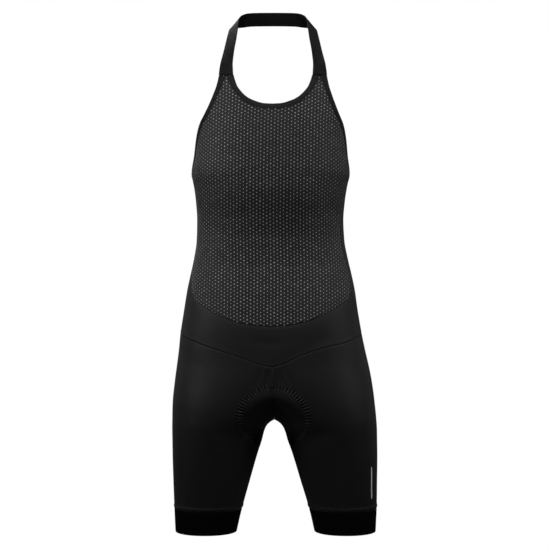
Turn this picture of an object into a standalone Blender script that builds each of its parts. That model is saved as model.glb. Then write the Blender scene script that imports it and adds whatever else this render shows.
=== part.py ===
"""Halter-neck cycling bib shorts, filled out as when worn, with nobody in them.

Every piece is cut from one figure. The figure is a stack of level sections, and a
place on it is a share of the way round one half, 0 at the centre front and 1 at the
centre back, and a height. Sizes are in millimetres: x to the left hand of whoever
wears the garment, y backwards, heights above the top of the hips. The origin of the
finished part is at the nape, in the middle of the neck strap's inner face.
"""

import functools
import math

import bmesh
import bpy
import numpy as np

MILLIMETRE = 0.001
COLLECTION = "cycling_bib_shorts"
SIDES = (("left", 1.0), ("right", -1.0))

NAPE = np.array((0.0, 58.0, 457.0))  # the origin, on the figure
SEAM = 0.3                 # gap between two pieces that are sewn edge to edge
JERSEY = 1.1               # wall of the knitted panels
GRIPPER = 1.6              # wall of the leg bands
BINDING_WIDTH = 6.0        # how far a binding reaches onto its panel
BINDING_WALL = 0.8
BINDING_PLAY = 0.55        # clearance between a binding and the edge inside it
STRAP_WALL = 1.5
STRAP_PLAY = 0.4           # clearance under the strap's sewn ends
PAD_PLAY = 2.6             # clearance between the pad and the shorts
PAD_EDGE = 2.0             # the pad at its rim
PAD_CROWN = 6.0            # how much thicker the pad is in its middle

STRAP_END = 341.5          # height of the strap's lower ends
BINDING_END = 340.8        # height where the bindings stop below the strap
BACK_HEM = 7.0             # how far down the binding of the low back reaches
UNDERARM = 175.0           # height where armhole and side seam meet
BIB_LEVEL = 30.0           # the bib's rows are level from here up
LEG_LEVEL = -186.0         # the legs' rows are level from here down
CROTCH = -250.4
GRIPPER_TOP = -406.0
HEM = -446.0

FIGURE_COLUMNS = ("height", "outer", "front", "back", "widest", "front_power", "back_power", "sway")
FIGURE = (
    (380.0, 137.0, 56.0, 50.0, 0.0, 2.5, 2.3, -1.6),
    (343.0, 136.0, 71.0, 70.0, 0.0, 2.5, 2.3, -1.6),
    (300.0, 135.0, 87.0, 86.0, 0.0, 2.5, 2.3, -2.4),
    (250.0, 133.0, 101.0, 95.0, 0.0, 2.6, 2.3, -4.4),
    (210.0, 133.8, 108.5, 97.0, 0.0, 2.6, 2.3, -5.0),
    (175.0, 137.0, 112.0, 96.0, 0.0, 2.6, 2.3, -5.6),
    (150.0, 133.0, 111.7, 92.0, 0.0, 2.5, 2.3, -5.8),
    (131.0, 130.3, 109.0, 88.0, 0.0, 2.5, 2.3, -6.0),
    (96.0, 127.7, 100.5, 83.0, 0.0, 2.4, 2.3, -6.3),
    (61.0, 129.0, 94.5, 82.0, 0.0, 2.4, 2.3, -5.8),
    (26.0, 134.9, 94.0, 88.0, 0.0, 2.4, 2.3, -5.1),
    (0.0, 140.8, 97.0, 95.0, 0.0, 2.4, 2.3, -4.8),
    (-26.0, 146.3, 100.0, 103.0, 0.0, 2.4, 2.3, -4.9),
    (-61.0, 151.6, 103.0, 112.0, 0.0, 2.4, 2.3, -5.2),
    (-96.0, 157.3, 105.0, 118.0, 0.0, 2.4, 2.3, -5.0),
    (-131.0, 162.7, 105.5, 120.0, 0.0, 2.4, 2.3, -3.2),
    (-161.0, 168.1, 105.0, 119.0, 0.0, 2.4, 2.3, -1.7),
    (-184.0, 171.8, 104.0, 116.0, -1.0, 2.35, 2.3, -1.0),
    (-219.0, 176.0, 101.0, 109.0, -2.0, 2.3, 2.25, -0.4),
    (-250.4, 178.0, 96.5, 99.0, -2.0, 2.25, 2.2, 0.8),
    (-271.0, 178.7, 92.0, 91.5, -2.5, 2.2, 2.2, 1.3),
    (-306.0, 178.7, 85.0, 80.0, -3.0, 2.2, 2.15, 1.9),
    (-359.0, 177.7, 76.0, 67.0, -4.0, 2.15, 2.1, 2.4),
    (-411.0, 176.3, 68.0, 57.0, -5.0, 2.1, 2.1, 3.0),
    (-446.0, 174.6, 63.5, 52.0, -5.5, 2.1, 2.1, 3.0),
)

# A leg is an oval from here out to the figure's outer line. Above the crotch it starts
# beyond the middle of the body, and the centre seams are where the middle cuts it.
INNER_COLUMNS = ("height", "inner")
INNER = (
    (-161.0, -168.1),
    (-190.0, -98.0),
    (-219.0, -45.0),
    (-240.0, -15.0),
    (-250.4, -2.0),
    (-259.0, 7.0),
    (-271.0, 15.5),
    (-289.0, 22.5),
    (-306.0, 28.7),
    (-359.0, 44.5),
    (-411.0, 59.5),
    (-446.0, 67.6),
)

# The arch of the crotch, which cuts the legs' inner sides flat below it.
ARCH_COLUMNS = ("height", "width")
ARCH = (
    (-250.4, 0.0),
    (-251.7, 5.3),
    (-254.2, 8.8),
    (-257.4, 12.2),
    (-263.0, 15.4),
    (-271.0, 18.3),
    (-289.0, 22.9),
    (-306.0, 28.7),
    (-446.0, 67.6),
)

# The cut: the neckline's distance from the middle, the armhole's share of the way
# round, and the heights of the seams and of the low back.
NECK_COLUMNS = ("height", "width")
NECK = (
    (288.8, 0.0),
    (289.6, 14.0),
    (291.0, 21.0),
    (293.4, 28.0),
    (296.2, 35.0),
    (300.0, 42.0),
    (305.3, 48.6),
    (312.8, 55.4),
    (321.0, 61.2),
    (331.0, 65.0),
    (340.0, 67.6),
    (349.0, 69.0),
    (363.0, 70.5),
)
ARMHOLE_COLUMNS = ("height", "share")
ARMHOLE = (
    (175.0, 0.523),
    (177.5, 0.503),
    (182.0, 0.484),
    (189.0, 0.464),
    (197.0, 0.448),
    (207.0, 0.435),
    (219.0, 0.422),
    (231.0, 0.409),
    (245.0, 0.390),
    (258.0, 0.367),
    (274.0, 0.332),
    (291.0, 0.306),
    (308.0, 0.2875),
    (325.0, 0.275),
    (342.0, 0.271),
    (363.0, 0.2715),
)
BIB_SEAM_COLUMNS = ("share", "height")
BIB_SEAM = (
    (0.0, -86.3),
    (0.07, -84.0),
    (0.14, -78.0),
    (0.215, -66.5),
    (0.28, -54.0),
    (0.35, -39.5),
    (0.385, -26.0),
)
LEG_SEAM_COLUMNS = ("share", "height")
LEG_SEAM = (
    (0.0, -155.5),
    (0.055, -148.7),
    (0.1, -139.5),
    (0.15, -132.0),
    (0.2, -125.5),
    (0.27, -118.3),
    (0.33, -111.7),
    (0.41, -104.0),
    (0.49, -100.0),
    (0.65, -99.0),
    (0.85, -106.0),
    (1.0, -112.0),
)
LEG_SEAM_SKEW = 2.5        # the leg seam's rise on the left, and fall on the right
LEG_SEAM_SKEW_END = 0.3    # the share where that ends
BACK_EDGE_COLUMNS = ("step", "height")
BACK_EDGE = ((0.0, 175.0), (0.12, 166.0), (0.3, 143.0), (0.5, 115.0), (0.75, 88.0), (1.0, 78.0))
SIDE_SEAM_COLUMNS = ("height", "left", "right")
SIDE_SEAM = (
    (175.0, 0.523, 0.523),
    (122.0, 0.485, 0.525),
    (95.0, 0.425, 0.520),
    (72.0, 0.398, 0.510),
    (36.0, 0.402, 0.485),
    (5.0, 0.420, 0.440),
    (-26.0, 0.385, 0.385),
    (-57.0, 0.398, 0.366),
    (-110.0, 0.414, 0.360),
)

# Heights of the level rows. They crowd together where an edge turns level.
BIB_ROWS = (
    30.0, 52.0, 74.0, 96.0, 118.0, 140.0, 158.0, 175.0, 177.5, 182.0, 189.0, 197.0, 207.0, 219.0, 231.0,
    242.0, 251.0, 259.0, 267.0, 275.0, 282.0,
)
NECK_ROWS = (288.8, 289.6, 291.6, 295.0, 300.0, 307.0, 315.0, 324.0, 333.0, 341.0, 351.0, 362.0)
LEG_ROWS = (
    -186.0, -198.0, -209.0, -219.0, -228.0, -235.0, -240.5, -244.5, -247.3, -249.2, -250.4,
    -251.7, -254.2, -257.4, -263.0, -271.0, -285.0, -306.0, -332.0, -359.0, -385.0,
)
GRIPPER_ROWS = (-419.0, -432.0, -446.0)
BLEND_ROWS = 4             # rows between a curved seam and the first level row
YOKE_ROWS = 5
FRONT_STEPS = 13           # columns from the centre front to the side seam, less two
BACK_STEPS = 11            # columns from the side seam to the centre back

# The strap's inner face: its upper edge, next to the neck, and its lower edge, from the
# nape round to the front.
STRAP_COLUMNS = ("upper_x", "upper_y", "upper_height", "lower_x", "lower_y", "lower_height")
STRAP = (
    (0.0, 57.5, 469.0, 0.0, 58.5, 445.0),
    (36.0, 51.5, 467.5, 36.5, 54.0, 443.6),
    (48.5, 38.0, 463.0, 53.0, 44.0, 440.0),
    (55.5, 16.0, 455.0, 69.0, 21.0, 434.5),
    (58.5, -8.0, 445.0, 75.0, -2.0, 428.5),
    (60.6, -30.0, 424.5, 77.6, -16.0, 417.5),
    (63.0, -44.0, 404.6, 81.0, -28.0, 400.5),
    (66.0, -53.0, 386.0, 84.8, -40.0, 382.0),
)
STRAP_SEWN = ((364.0, 68.4, 89.0), (353.0, 68.2, 90.8), (STRAP_END, 67.5, 92.0))
STRAP_STEPS = 5            # stations between two rows of the strap's table
STRAP_ACROSS = 4           # points across the strap

# The pad runs from the front, -1, under the crotch, 0, to the back, 1.
PAD_FRONT_TOP = -190.0
PAD_BACK_TOP = -150.0
PAD_COLUMNS = ("run", "half_width")
PAD = (
    (-1.0, 4.0),
    (-0.985, 14.0),
    (-0.96, 26.0),
    (-0.93, 42.0),
    (-0.876, 54.0),
    (-0.8, 52.0),
    (-0.65, 40.0),
    (-0.5, 31.0),
    (-0.3, 24.5),
    (0.0, 20.5),
    (0.3, 26.0),
    (0.5, 36.0),
    (0.7, 54.0),
    (0.85, 70.0),
    (0.93, 66.0),
    (0.98, 44.0),
    (1.0, 14.0),
)
PAD_RUNS = 29
PAD_ACROSS = 13

MATERIALS = {
    "mesh": ((0.030, 0.030, 0.032), 0.85),
    "jersey": ((0.012, 0.012, 0.013), 0.70),
    "gripper": ((0.003, 0.003, 0.003), 0.75),
    "binding": ((0.007, 0.007, 0.008), 0.65),
    "elastic": ((0.012, 0.012, 0.013), 0.60),
    "pad": ((0.020, 0.020, 0.022), 0.90),
}


def column(table, names, name):
    """One named column of a table, as an array."""
    return np.array([row[names.index(name)] for row in table])


def steady_curve(x, y, at):
    """Cubic through the points (x, y) that rises and falls only where they do."""
    order = np.argsort(x)
    x, y = x[order], y[order]
    step = np.diff(x)
    slope = np.diff(y) / step
    tangent = np.zeros(len(x))
    same = slope[1:] * slope[:-1] > 0
    before, after = slope[:-1][same], slope[1:][same]
    tangent[1:-1][same] = 2 * before * after / (before + after)
    tangent[0], tangent[-1] = slope[0], slope[-1]
    at = np.clip(at, x[0], x[-1])
    i = np.clip(np.searchsorted(x, at) - 1, 0, len(step) - 1)
    t = (at - x[i]) / step[i]
    return (
        y[i] * (1 + 2 * t) * (1 - t) ** 2
        + y[i + 1] * t * t * (3 - 2 * t)
        + step[i] * tangent[i] * t * (1 - t) ** 2
        - step[i] * tangent[i + 1] * t * t * (1 - t)
    )


def read(table, names, by, name, at):
    """A column of a table at a value of another, on a smooth curve through its rows."""
    return float(steady_curve(column(table, names, by), column(table, names, name), at))


@functools.cache
def figure_at(name, height):
    return read(FIGURE, FIGURE_COLUMNS, "height", name, height)


def oval(height):
    """Middle, half width, front, back and widest place of the half section's oval."""
    outer = figure_at("outer", height)
    trunk = height >= INNER[0][0]
    inner = -outer if trunk else read(INNER, INNER_COLUMNS, "height", "inner", height)
    widest = figure_at("widest", height)
    front = figure_at("front", height) + widest
    back = figure_at("back", height) - widest
    return (outer + inner) / 2, (outer - inner) / 2, front, back, widest


@functools.cache
def half_section(height, samples=241):
    """The half section at a height: points from centre front round to centre back, how
    far along each one lies, and the share of the oval's inner side that is cut away. It
    is an oval of two half superellipses."""
    middle, half, front, back, widest = oval(height)
    front_power = figure_at("front_power", height)
    back_power = figure_at("back_power", height)
    past = middle / half if height > CROTCH else 1.0
    start = -math.asin(past ** (front_power / 2))
    end = math.pi + math.asin(past ** (back_power / 2))
    turn = np.linspace(start, end, samples)
    sine, cosine = np.sin(turn), np.cos(turn)
    power = np.where(cosine > 0, front_power, back_power)
    depth = np.where(cosine > 0, front, back)
    x = middle + half * np.sign(sine) * np.abs(sine) ** (2 / power)
    y = widest - depth * np.sign(cosine) * np.abs(cosine) ** (2 / power)
    x = np.maximum(x, read(ARCH, ARCH_COLUMNS, "height", "width", height))
    along = np.concatenate(([0.0], np.cumsum(np.hypot(np.diff(x), np.diff(y)))))
    return x, y, along, 0.5 + start / math.pi


def crowded(share, height, cut):
    """The share of a section's length where a column lies. Towards the crotch the inner
    columns crowd together, so that the others run straight down past it."""
    turn = np.interp(height, (CROTCH, LEG_LEVEL), (1.0, 0.0)) if cut > 0 else 0.0
    half = 2 * min(share, 1 - share)
    bent = (math.hypot(half, cut) - cut) / (math.hypot(1.0, cut) - cut)
    half += turn * (bent - half)
    return half / 2 if share < 0.5 else 1 - half / 2


def on_figure(share, height, side, seam=0.0):
    """Point of the figure: a share of the way round, at a height, on the side given.
    With a seam, the row stops half of it short of the centre seams."""
    x, y, along, cut = half_section(height)
    at = seam / 2 + crowded(share, height, cut) * (along[-1] - seam)
    across = max(np.interp(at, along, x), seam / 2)
    return np.array((side * across + figure_at("sway", height), np.interp(at, along, y), height))


def outward(share, height, side):
    """Unit normal of the figure at a place."""
    round_step, up_step = 0.004, 1.5
    low = max(share - round_step, 0.0)
    high = min(share + round_step, 1.0)
    along = on_figure(high, height, side) - on_figure(low, height, side)
    upwards = on_figure(share, height + up_step, side) - on_figure(share, height - up_step, side)
    normal = side * np.cross(along, upwards)
    return normal / np.linalg.norm(normal)


def length_round(height):
    return half_section(height)[2][-1]


def share_at_width(width, height):
    """The share of the way round, on the front, that lies so far from the middle."""
    x, _, along, _ = half_section(height)
    front = np.arange(len(x)) <= np.argmax(x)
    return float(np.interp(width, x[front], along[front]) / along[-1])


def side_seam(height, side):
    name = "left" if side > 0 else "right"
    return read(SIDE_SEAM, SIDE_SEAM_COLUMNS, "height", name, height)


def bib_seam(share):
    return read(BIB_SEAM, BIB_SEAM_COLUMNS, "share", "height", share)


def leg_seam(share, side):
    skew = math.sin(math.pi * min(share / LEG_SEAM_SKEW_END, 1.0))
    return read(LEG_SEAM, LEG_SEAM_COLUMNS, "share", "height", share) + side * LEG_SEAM_SKEW * skew


def bib_outer(height, side):
    """Share of the bib's outer edge: the side seam, and above it the armhole."""
    if height <= UNDERARM:
        return side_seam(height, side)
    return read(ARMHOLE, ARMHOLE_COLUMNS, "height", "share", height)


def bib_inner(height):
    """Share of the bib's inner edge: the centre front, and above it the neckline."""
    if height <= NECK[0][0]:
        return 0.0
    return share_at_width(read(NECK, NECK_COLUMNS, "height", "width", height), height)


def front_steps(inner, outer, height):
    """Shares of the columns between two edges, with one a binding's width from each."""
    edge = BINDING_WIDTH / ((outer - inner) * length_round(height))
    steps = np.concatenate(([0.0], np.linspace(edge, 1 - edge, FRONT_STEPS), [1.0]))
    return inner + (outer - inner) * steps


def yoke_places(side):
    """Rows of the waist yoke on one side, from the leg seam up to the bib's seam."""
    places = []
    for k in range(YOKE_ROWS + 1):
        part = k / YOKE_ROWS
        row = []
        for i in range(FRONT_STEPS + 2):
            height = (1 - part) * leg_seam(0.0, side) + part * bib_seam(0.0)
            for _ in range(5):
                share = front_steps(0.0, side_seam(height, side), height)[i]
                height = (1 - part) * leg_seam(share, side) + part * bib_seam(share)
            row.append((share, height))
        places.append(row)
    return places


def bib_places(side):
    """Rows of the bib on one side, from its curved lower seam up to the tip."""
    places = []
    for k in range(BLEND_ROWS):
        part = k / BLEND_ROWS
        row = []
        for i in range(FRONT_STEPS + 2):
            height = bib_seam(0.0)
            for _ in range(5):
                share = front_steps(0.0, side_seam(height, side), height)[i]
                height = (1 - part) * bib_seam(share) + part * BIB_LEVEL
            row.append((share, height))
        places.append(row)
    for height in BIB_ROWS + NECK_ROWS:
        shares = front_steps(bib_inner(height), bib_outer(height, side), height)
        places.append([(share, height) for share in shares])
    return places


@functools.cache
def side_parts(side):
    """How far up the side seam each row of the yoke and of the bib ends, from 0 to 1."""
    heights = [row[-1][1] for row in yoke_places(side)]
    heights += [row[-1][1] for row in bib_places(side)[1:] if row[-1][1] <= UNDERARM]
    return (np.array(heights) - heights[0]) / (heights[-1] - heights[0])


def back_places(side):
    """Rows of the back panel on one side, from the leg seam up to the low back edge.
    At the side seam they meet the rows of the yoke and of the bib. The last but one is
    where the binding of the edge ends."""
    parts, level_parts = side_parts(side), (side_parts(1.0) + side_parts(-1.0)) / 2
    steps = np.linspace(0.0, 1.0, BACK_STEPS + 1)
    corner = yoke_places(side)[0][-1][0]
    places = []
    for part, level_part in zip(parts, level_parts):
        row = []
        for step in steps:
            bottom = leg_seam(corner * (1 - step) + step, side)
            top = read(BACK_EDGE, BACK_EDGE_COLUMNS, "step", "height", step)
            height = bottom + (part * (1 - step) + level_part * step) * (top - bottom)
            row.append((side_seam(height, side) * (1 - step) + step, height))
        places.append(row)
    hem = [height - BACK_HEM for _, height in places[-1]]
    shares = [side_seam(height, side) * (1 - step) + step for step, height in zip(steps, hem)]
    places.insert(-1, list(zip(shares, hem)))
    return places


def leg_places(side):
    """Rows of a leg, from the seam round the hips down to the gripper's seam."""
    top = [share for share, _ in yoke_places(side)[0]] + [share for share, _ in back_places(side)[0][1:]]
    places = []
    for k in range(BLEND_ROWS):
        part = k / BLEND_ROWS
        places.append([(share, (1 - part) * leg_seam(share, side) + part * LEG_LEVEL) for share in top])
    for height in LEG_ROWS + (GRIPPER_TOP,):
        places.append([(share, height) for share in top])
    return places


def inset_edges(places, left=0.0, right=0.0, bottom=0.0, top=0.0):
    """Rows of places with their outer lines moved inwards by the amounts given."""
    rows = [list(row) for row in places]
    for row in rows:
        round_length = length_round(row[0][1])
        row[0] = (row[0][0] + left / round_length, row[0][1])
        row[-1] = (row[-1][0] - right / round_length, row[-1][1])
    upwards = 1 if rows[-1][0][1] > rows[0][0][1] else -1
    rows[0] = [(share, height + upwards * bottom) for share, height in rows[0]]
    rows[-1] = [(share, height - upwards * top) for share, height in rows[-1]]
    return rows


def points_of(places, side, seam=0.0):
    return np.array([[on_figure(share, height, side, seam) for share, height in row] for row in places])


def new_object(name, vertices, faces, material):
    """Mesh object from points on the figure, placed from the nape, in metres."""
    mesh = bpy.data.meshes.new(name)
    mesh.from_pydata(((np.asarray(vertices) - NAPE) * MILLIMETRE).tolist(), [], faces)
    mesh.materials.append(bpy.data.materials[material])
    mesh.shade_smooth()
    obj = bpy.data.objects.new(name, mesh)
    bpy.data.collections[COLLECTION].objects.link(obj)
    return obj


def grid_faces(rows, columns, flip, first=0):
    faces = []
    for r in range(rows - 1):
        for c in range(columns - 1):
            corner = first + r * columns + c
            face = (corner, corner + 1, corner + columns + 1, corner + columns)
            faces.append(face[::-1] if flip else face)
    return faces


def weld(obj, closed=False):
    """Merge the points that two halves share on the middle line, and turn the faces of
    a closed body outwards."""
    shape = bmesh.new()
    shape.from_mesh(obj.data)
    bmesh.ops.remove_doubles(shape, verts=shape.verts, dist=0.02 * MILLIMETRE)
    if closed:
        bmesh.ops.recalc_face_normals(shape, faces=shape.faces)
    shape.to_mesh(obj.data)
    shape.free()


def thicken(obj, wall, outwards=False):
    """Give an open sheet its wall, inwards from its outer face unless told otherwise."""
    solidify = obj.modifiers.new("wall", "SOLIDIFY")
    solidify.thickness = wall * MILLIMETRE
    solidify.offset = 1.0 if outwards else -1.0
    solidify.use_quality_normals = True


def sheet(name, grids, wall, material, outwards=False):
    """A wall of cloth from one or two grids of points, each given with its flip."""
    vertices, faces = [], []
    for grid, flip in grids:
        faces += grid_faces(grid.shape[0], grid.shape[1], flip, len(vertices))
        vertices += list(grid.reshape(-1, 3))
    obj = new_object(name, vertices, faces, material)
    weld(obj)
    thicken(obj, wall, outwards)
    return obj


def make_bib():
    """Front bib, cut in one: both halves meet at the centre front below the neckline."""
    halves = []
    for _, side in SIDES:
        rows = inset_edges(bib_places(side), right=SEAM / 2, bottom=SEAM / 2)
        halves.append((points_of(rows, side), side < 0))
    return sheet("bib_front", halves, JERSEY, "mesh")


def make_yoke():
    """Waist yoke, cut in one, with a seam along both curved edges and both sides."""
    halves = []
    for _, side in SIDES:
        rows = inset_edges(yoke_places(side), right=SEAM / 2, bottom=SEAM / 2, top=SEAM / 2)
        halves.append((points_of(rows, side), side < 0))
    return sheet("front_yoke", halves, JERSEY, "jersey")


def make_back():
    """Back panel, cut in one, from side seam to side seam."""
    halves = []
    for _, side in SIDES:
        rows = inset_edges(back_places(side), left=SEAM / 2, bottom=SEAM / 2)
        halves.append((points_of(rows, side), side < 0))
    return sheet("back_panel", halves, JERSEY, "jersey")


def make_leg(name, side):
    """One leg: half of the hips down to the crotch and a tube below, sewn up inside."""
    rows = inset_edges(leg_places(side), bottom=SEAM / 2, top=SEAM / 2)
    return sheet("leg_" + name, [(points_of(rows, side, SEAM), side > 0)], JERSEY, "jersey")


def make_gripper(name, side):
    """Elastic band round the bottom of one leg."""
    shares = [share for share, _ in leg_places(side)[0]]
    heights = (GRIPPER_TOP - SEAM / 2,) + GRIPPER_ROWS
    rows = [[(share, height) for share in shares] for height in heights]
    return sheet("gripper_" + name, [(points_of(rows, side, SEAM), side > 0)], GRIPPER, "gripper")


def inset_path(path, cloth):
    """The places a binding's width in from those of a path down an edge, which ends
    level. Cloth is 1 where the panel lies before the edge and -1 where it is behind."""
    heights = np.array([height for _, height in path])
    run = np.array([share * length_round(height) for share, height in path])
    tangent = np.stack((np.gradient(run), np.gradient(heights)), axis=1)
    tangent[-1, 1] = 0.0
    tangent *= cloth * BINDING_WIDTH / np.linalg.norm(tangent, axis=1)[:, None]
    places = zip(run + tangent[:, 1], heights - tangent[:, 0])
    return [(max(along / length_round(height), 0.0), height) for along, height in places]


def channel(edge_places, inset_places, side):
    """Rings of a binding along an edge: a channel folded over it, of eight points."""
    near, far = BINDING_PLAY, BINDING_PLAY + BINDING_WALL
    rings = []
    for edge_place, inset_place in zip(edge_places, inset_places):
        edge, edge_out = on_figure(*edge_place, side), outward(*edge_place, side)
        inset, inset_out = on_figure(*inset_place, side), outward(*inset_place, side)
        beyond = (edge - inset) / np.linalg.norm(edge - inset)
        rings.append((
            inset + far * inset_out,
            edge + far * beyond + far * edge_out,
            edge + far * beyond - (JERSEY + far) * edge_out,
            inset - (JERSEY + far) * inset_out,
            inset - (JERSEY + near) * inset_out,
            edge + near * beyond - (JERSEY + near) * edge_out,
            edge + near * beyond + near * edge_out,
            inset + near * inset_out,
        ))
    return rings


def neckline_rings(side):
    """Rings from the bib's tip down its neckline to the centre front."""
    heights = [BINDING_END] + sorted((h for h in NECK_ROWS if h < BINDING_END), reverse=True)
    path = [(bib_inner(height), height) for height in heights]
    return channel(path, inset_path(path, -1.0), side)


def low_edge_rings(side):
    """Rings from the bib's tip down the armhole and round the low back to its middle."""
    levels = [h for h in BIB_ROWS + NECK_ROWS if UNDERARM < h < BINDING_END]
    heights = [BINDING_END] + sorted(levels, reverse=True)
    armhole = [(bib_outer(height, side), height) for height in heights]
    back = back_places(side)
    insets = inset_path(armhole + back[-1][:1], 1.0)[:-1] + back[-2]
    return channel(armhole + back[-1], insets, side)


def make_binding(name, half_rings):
    """A closed body from the rings of both sides of a binding, with its ends capped."""
    rings = np.array(half_rings(-1.0) + half_rings(1.0)[-2::-1])
    count, points = rings.shape[:2]
    faces = []
    for r in range(count - 1):
        for c in range(points):
            ahead = (c + 1) % points
            faces.append((r * points + c, r * points + ahead, (r + 1) * points + ahead, (r + 1) * points + c))
    last = (count - 1) * points
    for leg in ((0, 1, 6, 7), (1, 2, 5, 6), (2, 3, 4, 5)):
        faces.append(leg[::-1])
        faces.append(tuple(last + corner for corner in leg))
    binding = new_object(name, rings.reshape(-1, 3), faces, "binding")
    weld(binding, closed=True)
    return binding


def strap_rows():
    """Rows across the strap's inner face, from the nape to its sewn end, on the left."""
    rows = []
    for upper_x, upper_y, upper_height, lower_x, lower_y, lower_height in STRAP:
        upper = np.array((upper_x, upper_y, upper_height))
        lower = np.array((lower_x, lower_y, lower_height))
        part = np.linspace(0, 1, STRAP_ACROSS)[:, None]
        rows.append(upper * (1 - part) + lower * part)
    for height, upper, lower in STRAP_SEWN:
        row = []
        for width in np.linspace(upper, lower, STRAP_ACROSS):
            share = share_at_width(width, height)
            point = on_figure(share, height, 1.0) + STRAP_PLAY * outward(share, height, 1.0)
            row.append(point - (figure_at("sway", height), 0.0, 0.0))
        rows.append(np.array(row))
    return np.array(rows)


def make_strap():
    """One elastic strap: its rows mirrored, with a smooth curve through all of them."""
    left = strap_rows()
    right = left[:0:-1] * (-1.0, 1.0, 1.0)
    rows = np.concatenate((right, left))
    rows[:, :, 0] += FIGURE[0][FIGURE_COLUMNS.index("sway")]
    before = np.concatenate((2 * rows[:1] - rows[1:2], rows[:-1]))
    after = np.concatenate((rows[1:], 2 * rows[-1:] - rows[-2:-1]))
    tangent = (after - before) / 2
    stations = [rows[0]]
    for i in range(len(rows) - 1):
        sewn = min(i, len(rows) - 2 - i) < len(STRAP_SEWN) - 1
        for t in np.linspace(0, 1, (1 if sewn else STRAP_STEPS) + 1)[1:]:
            stations.append(
                (1 + 2 * t) * (1 - t) ** 2 * rows[i]
                + t * t * (3 - 2 * t) * rows[i + 1]
                + t * (1 - t) ** 2 * tangent[i]
                - t * t * (1 - t) * tangent[i + 1]
            )
    return sheet("neck_strap", [(np.array(stations), True)], STRAP_WALL, "elastic", outwards=True)


def lowest_at(width):
    """Height where the crotch's arch is so far from the middle."""
    heights = np.linspace(CROTCH, HEM, 400)
    arch = [read(ARCH, ARCH_COLUMNS, "height", "width", height) for height in heights]
    return float(np.interp(width, arch, heights))


def crotch_point(width, run):
    """Point of the shorts so far from the middle, on the run from front to back."""
    low = lowest_at(abs(width))
    top = PAD_FRONT_TOP if run < 0 else PAD_BACK_TOP
    height = low + (top - low) * run * run
    middle, half, front, back, widest = oval(height)
    power = figure_at("front_power" if run < 0 else "back_power", height)
    off = min(1.0, abs(abs(width) - middle) / half)
    depth = -front if run < 0 else back
    y = widest + (depth * (1 - off ** power) ** (1 / power) if run else 0.0)
    return np.array((width + figure_at("sway", height), y, height))


def make_pad():
    """Chamois pad inside the crotch: the shorts' own form, moved in, and crowned."""
    spread = np.linspace(-1, 1, PAD_RUNS)
    runs = np.sign(spread) * np.abs(spread) ** 0.8
    across = np.linspace(-1, 1, PAD_ACROSS)
    rows = []
    for run in runs:
        half_width = read(PAD, PAD_COLUMNS, "run", "half_width", run)
        rows.append([crotch_point(half_width * part, run) for part in across])
    shell = np.array(rows)
    normal = np.cross(np.gradient(shell, axis=0), np.gradient(shell, axis=1))
    normal /= np.linalg.norm(normal, axis=2)[:, :, None]
    crown = (1 - across[None, :] ** 2) * (1 - spread[:, None] ** 6)
    under = shell - (JERSEY + PAD_PLAY) * normal
    upper = under - (PAD_EDGE + PAD_CROWN * crown)[:, :, None] * normal
    count, width = shell.shape[:2]
    faces = grid_faces(count, width, True) + grid_faces(count, width, False, count * width)
    rim = [(r, 0) for r in range(count)] + [(count - 1, c) for c in range(1, width)]
    rim += [(r, width - 1) for r in range(count - 2, -1, -1)] + [(0, c) for c in range(width - 2, 0, -1)]
    ring = [r * width + c for r, c in rim]
    for here, there in zip(ring, ring[1:] + ring[:1]):
        faces.append((here, there, there + count * width, here + count * width))
    pad = new_object("chamois_pad", np.concatenate((under, upper)).reshape(-1, 3), faces, "pad")
    weld(pad, closed=True)
    return pad


def make_materials():
    for name, (colour, roughness) in MATERIALS.items():
        material = bpy.data.materials.new(name)
        material.use_nodes = True
        shader = material.node_tree.nodes["Principled BSDF"]
        shader.inputs["Base Color"].default_value = (*colour, 1.0)
        shader.inputs["Roughness"].default_value = roughness
        shader.inputs["Metallic"].default_value = 0.0


def main():
    for obj in list(bpy.data.objects):
        bpy.data.objects.remove(obj)
    bpy.context.scene.collection.children.link(bpy.data.collections.new(COLLECTION))
    make_materials()
    make_bib()
    make_yoke()
    make_back()
    make_binding("neck_binding", neckline_rings)
    make_binding("edge_binding", low_edge_rings)
    make_strap()
    for name, side in SIDES:
        make_leg(name, side)
        make_gripper(name, side)
    make_pad()


main()
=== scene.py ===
"""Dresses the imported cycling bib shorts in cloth: a dotted mesh bib, smooth jersey legs and
back, folded bindings, a ribbed neck strap, leg grippers, seams and the pad's ring of stitches.

Every panel lies on one figure, a stack of level sections. A place on it is a share of the way
round one half, 0 at the centre front and 1 at the centre back, a height, and a side, 1 for the
left and -1 for the right. The figure's sizes are in millimetres, from the top of the hips.
"""

import functools
import math

import bpy
import numpy as np
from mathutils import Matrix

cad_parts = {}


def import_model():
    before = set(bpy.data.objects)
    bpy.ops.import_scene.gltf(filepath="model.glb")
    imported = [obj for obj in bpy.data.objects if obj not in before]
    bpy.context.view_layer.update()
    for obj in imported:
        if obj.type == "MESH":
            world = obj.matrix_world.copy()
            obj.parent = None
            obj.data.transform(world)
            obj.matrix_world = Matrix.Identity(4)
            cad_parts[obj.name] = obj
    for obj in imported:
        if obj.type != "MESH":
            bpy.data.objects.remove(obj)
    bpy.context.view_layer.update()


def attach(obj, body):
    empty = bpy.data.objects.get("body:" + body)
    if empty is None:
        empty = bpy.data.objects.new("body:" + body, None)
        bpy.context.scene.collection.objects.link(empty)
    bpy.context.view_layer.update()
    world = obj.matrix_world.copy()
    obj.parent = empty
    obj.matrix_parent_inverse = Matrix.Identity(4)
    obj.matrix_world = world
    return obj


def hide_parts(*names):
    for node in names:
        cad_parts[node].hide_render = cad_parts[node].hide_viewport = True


MM = 0.001
NAPE = np.array((0.0, 58.0, 457.0))
LEFT, RIGHT = 1.0, -1.0
SIDES = (RIGHT, LEFT)
SHARP = math.radians(55)

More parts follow.
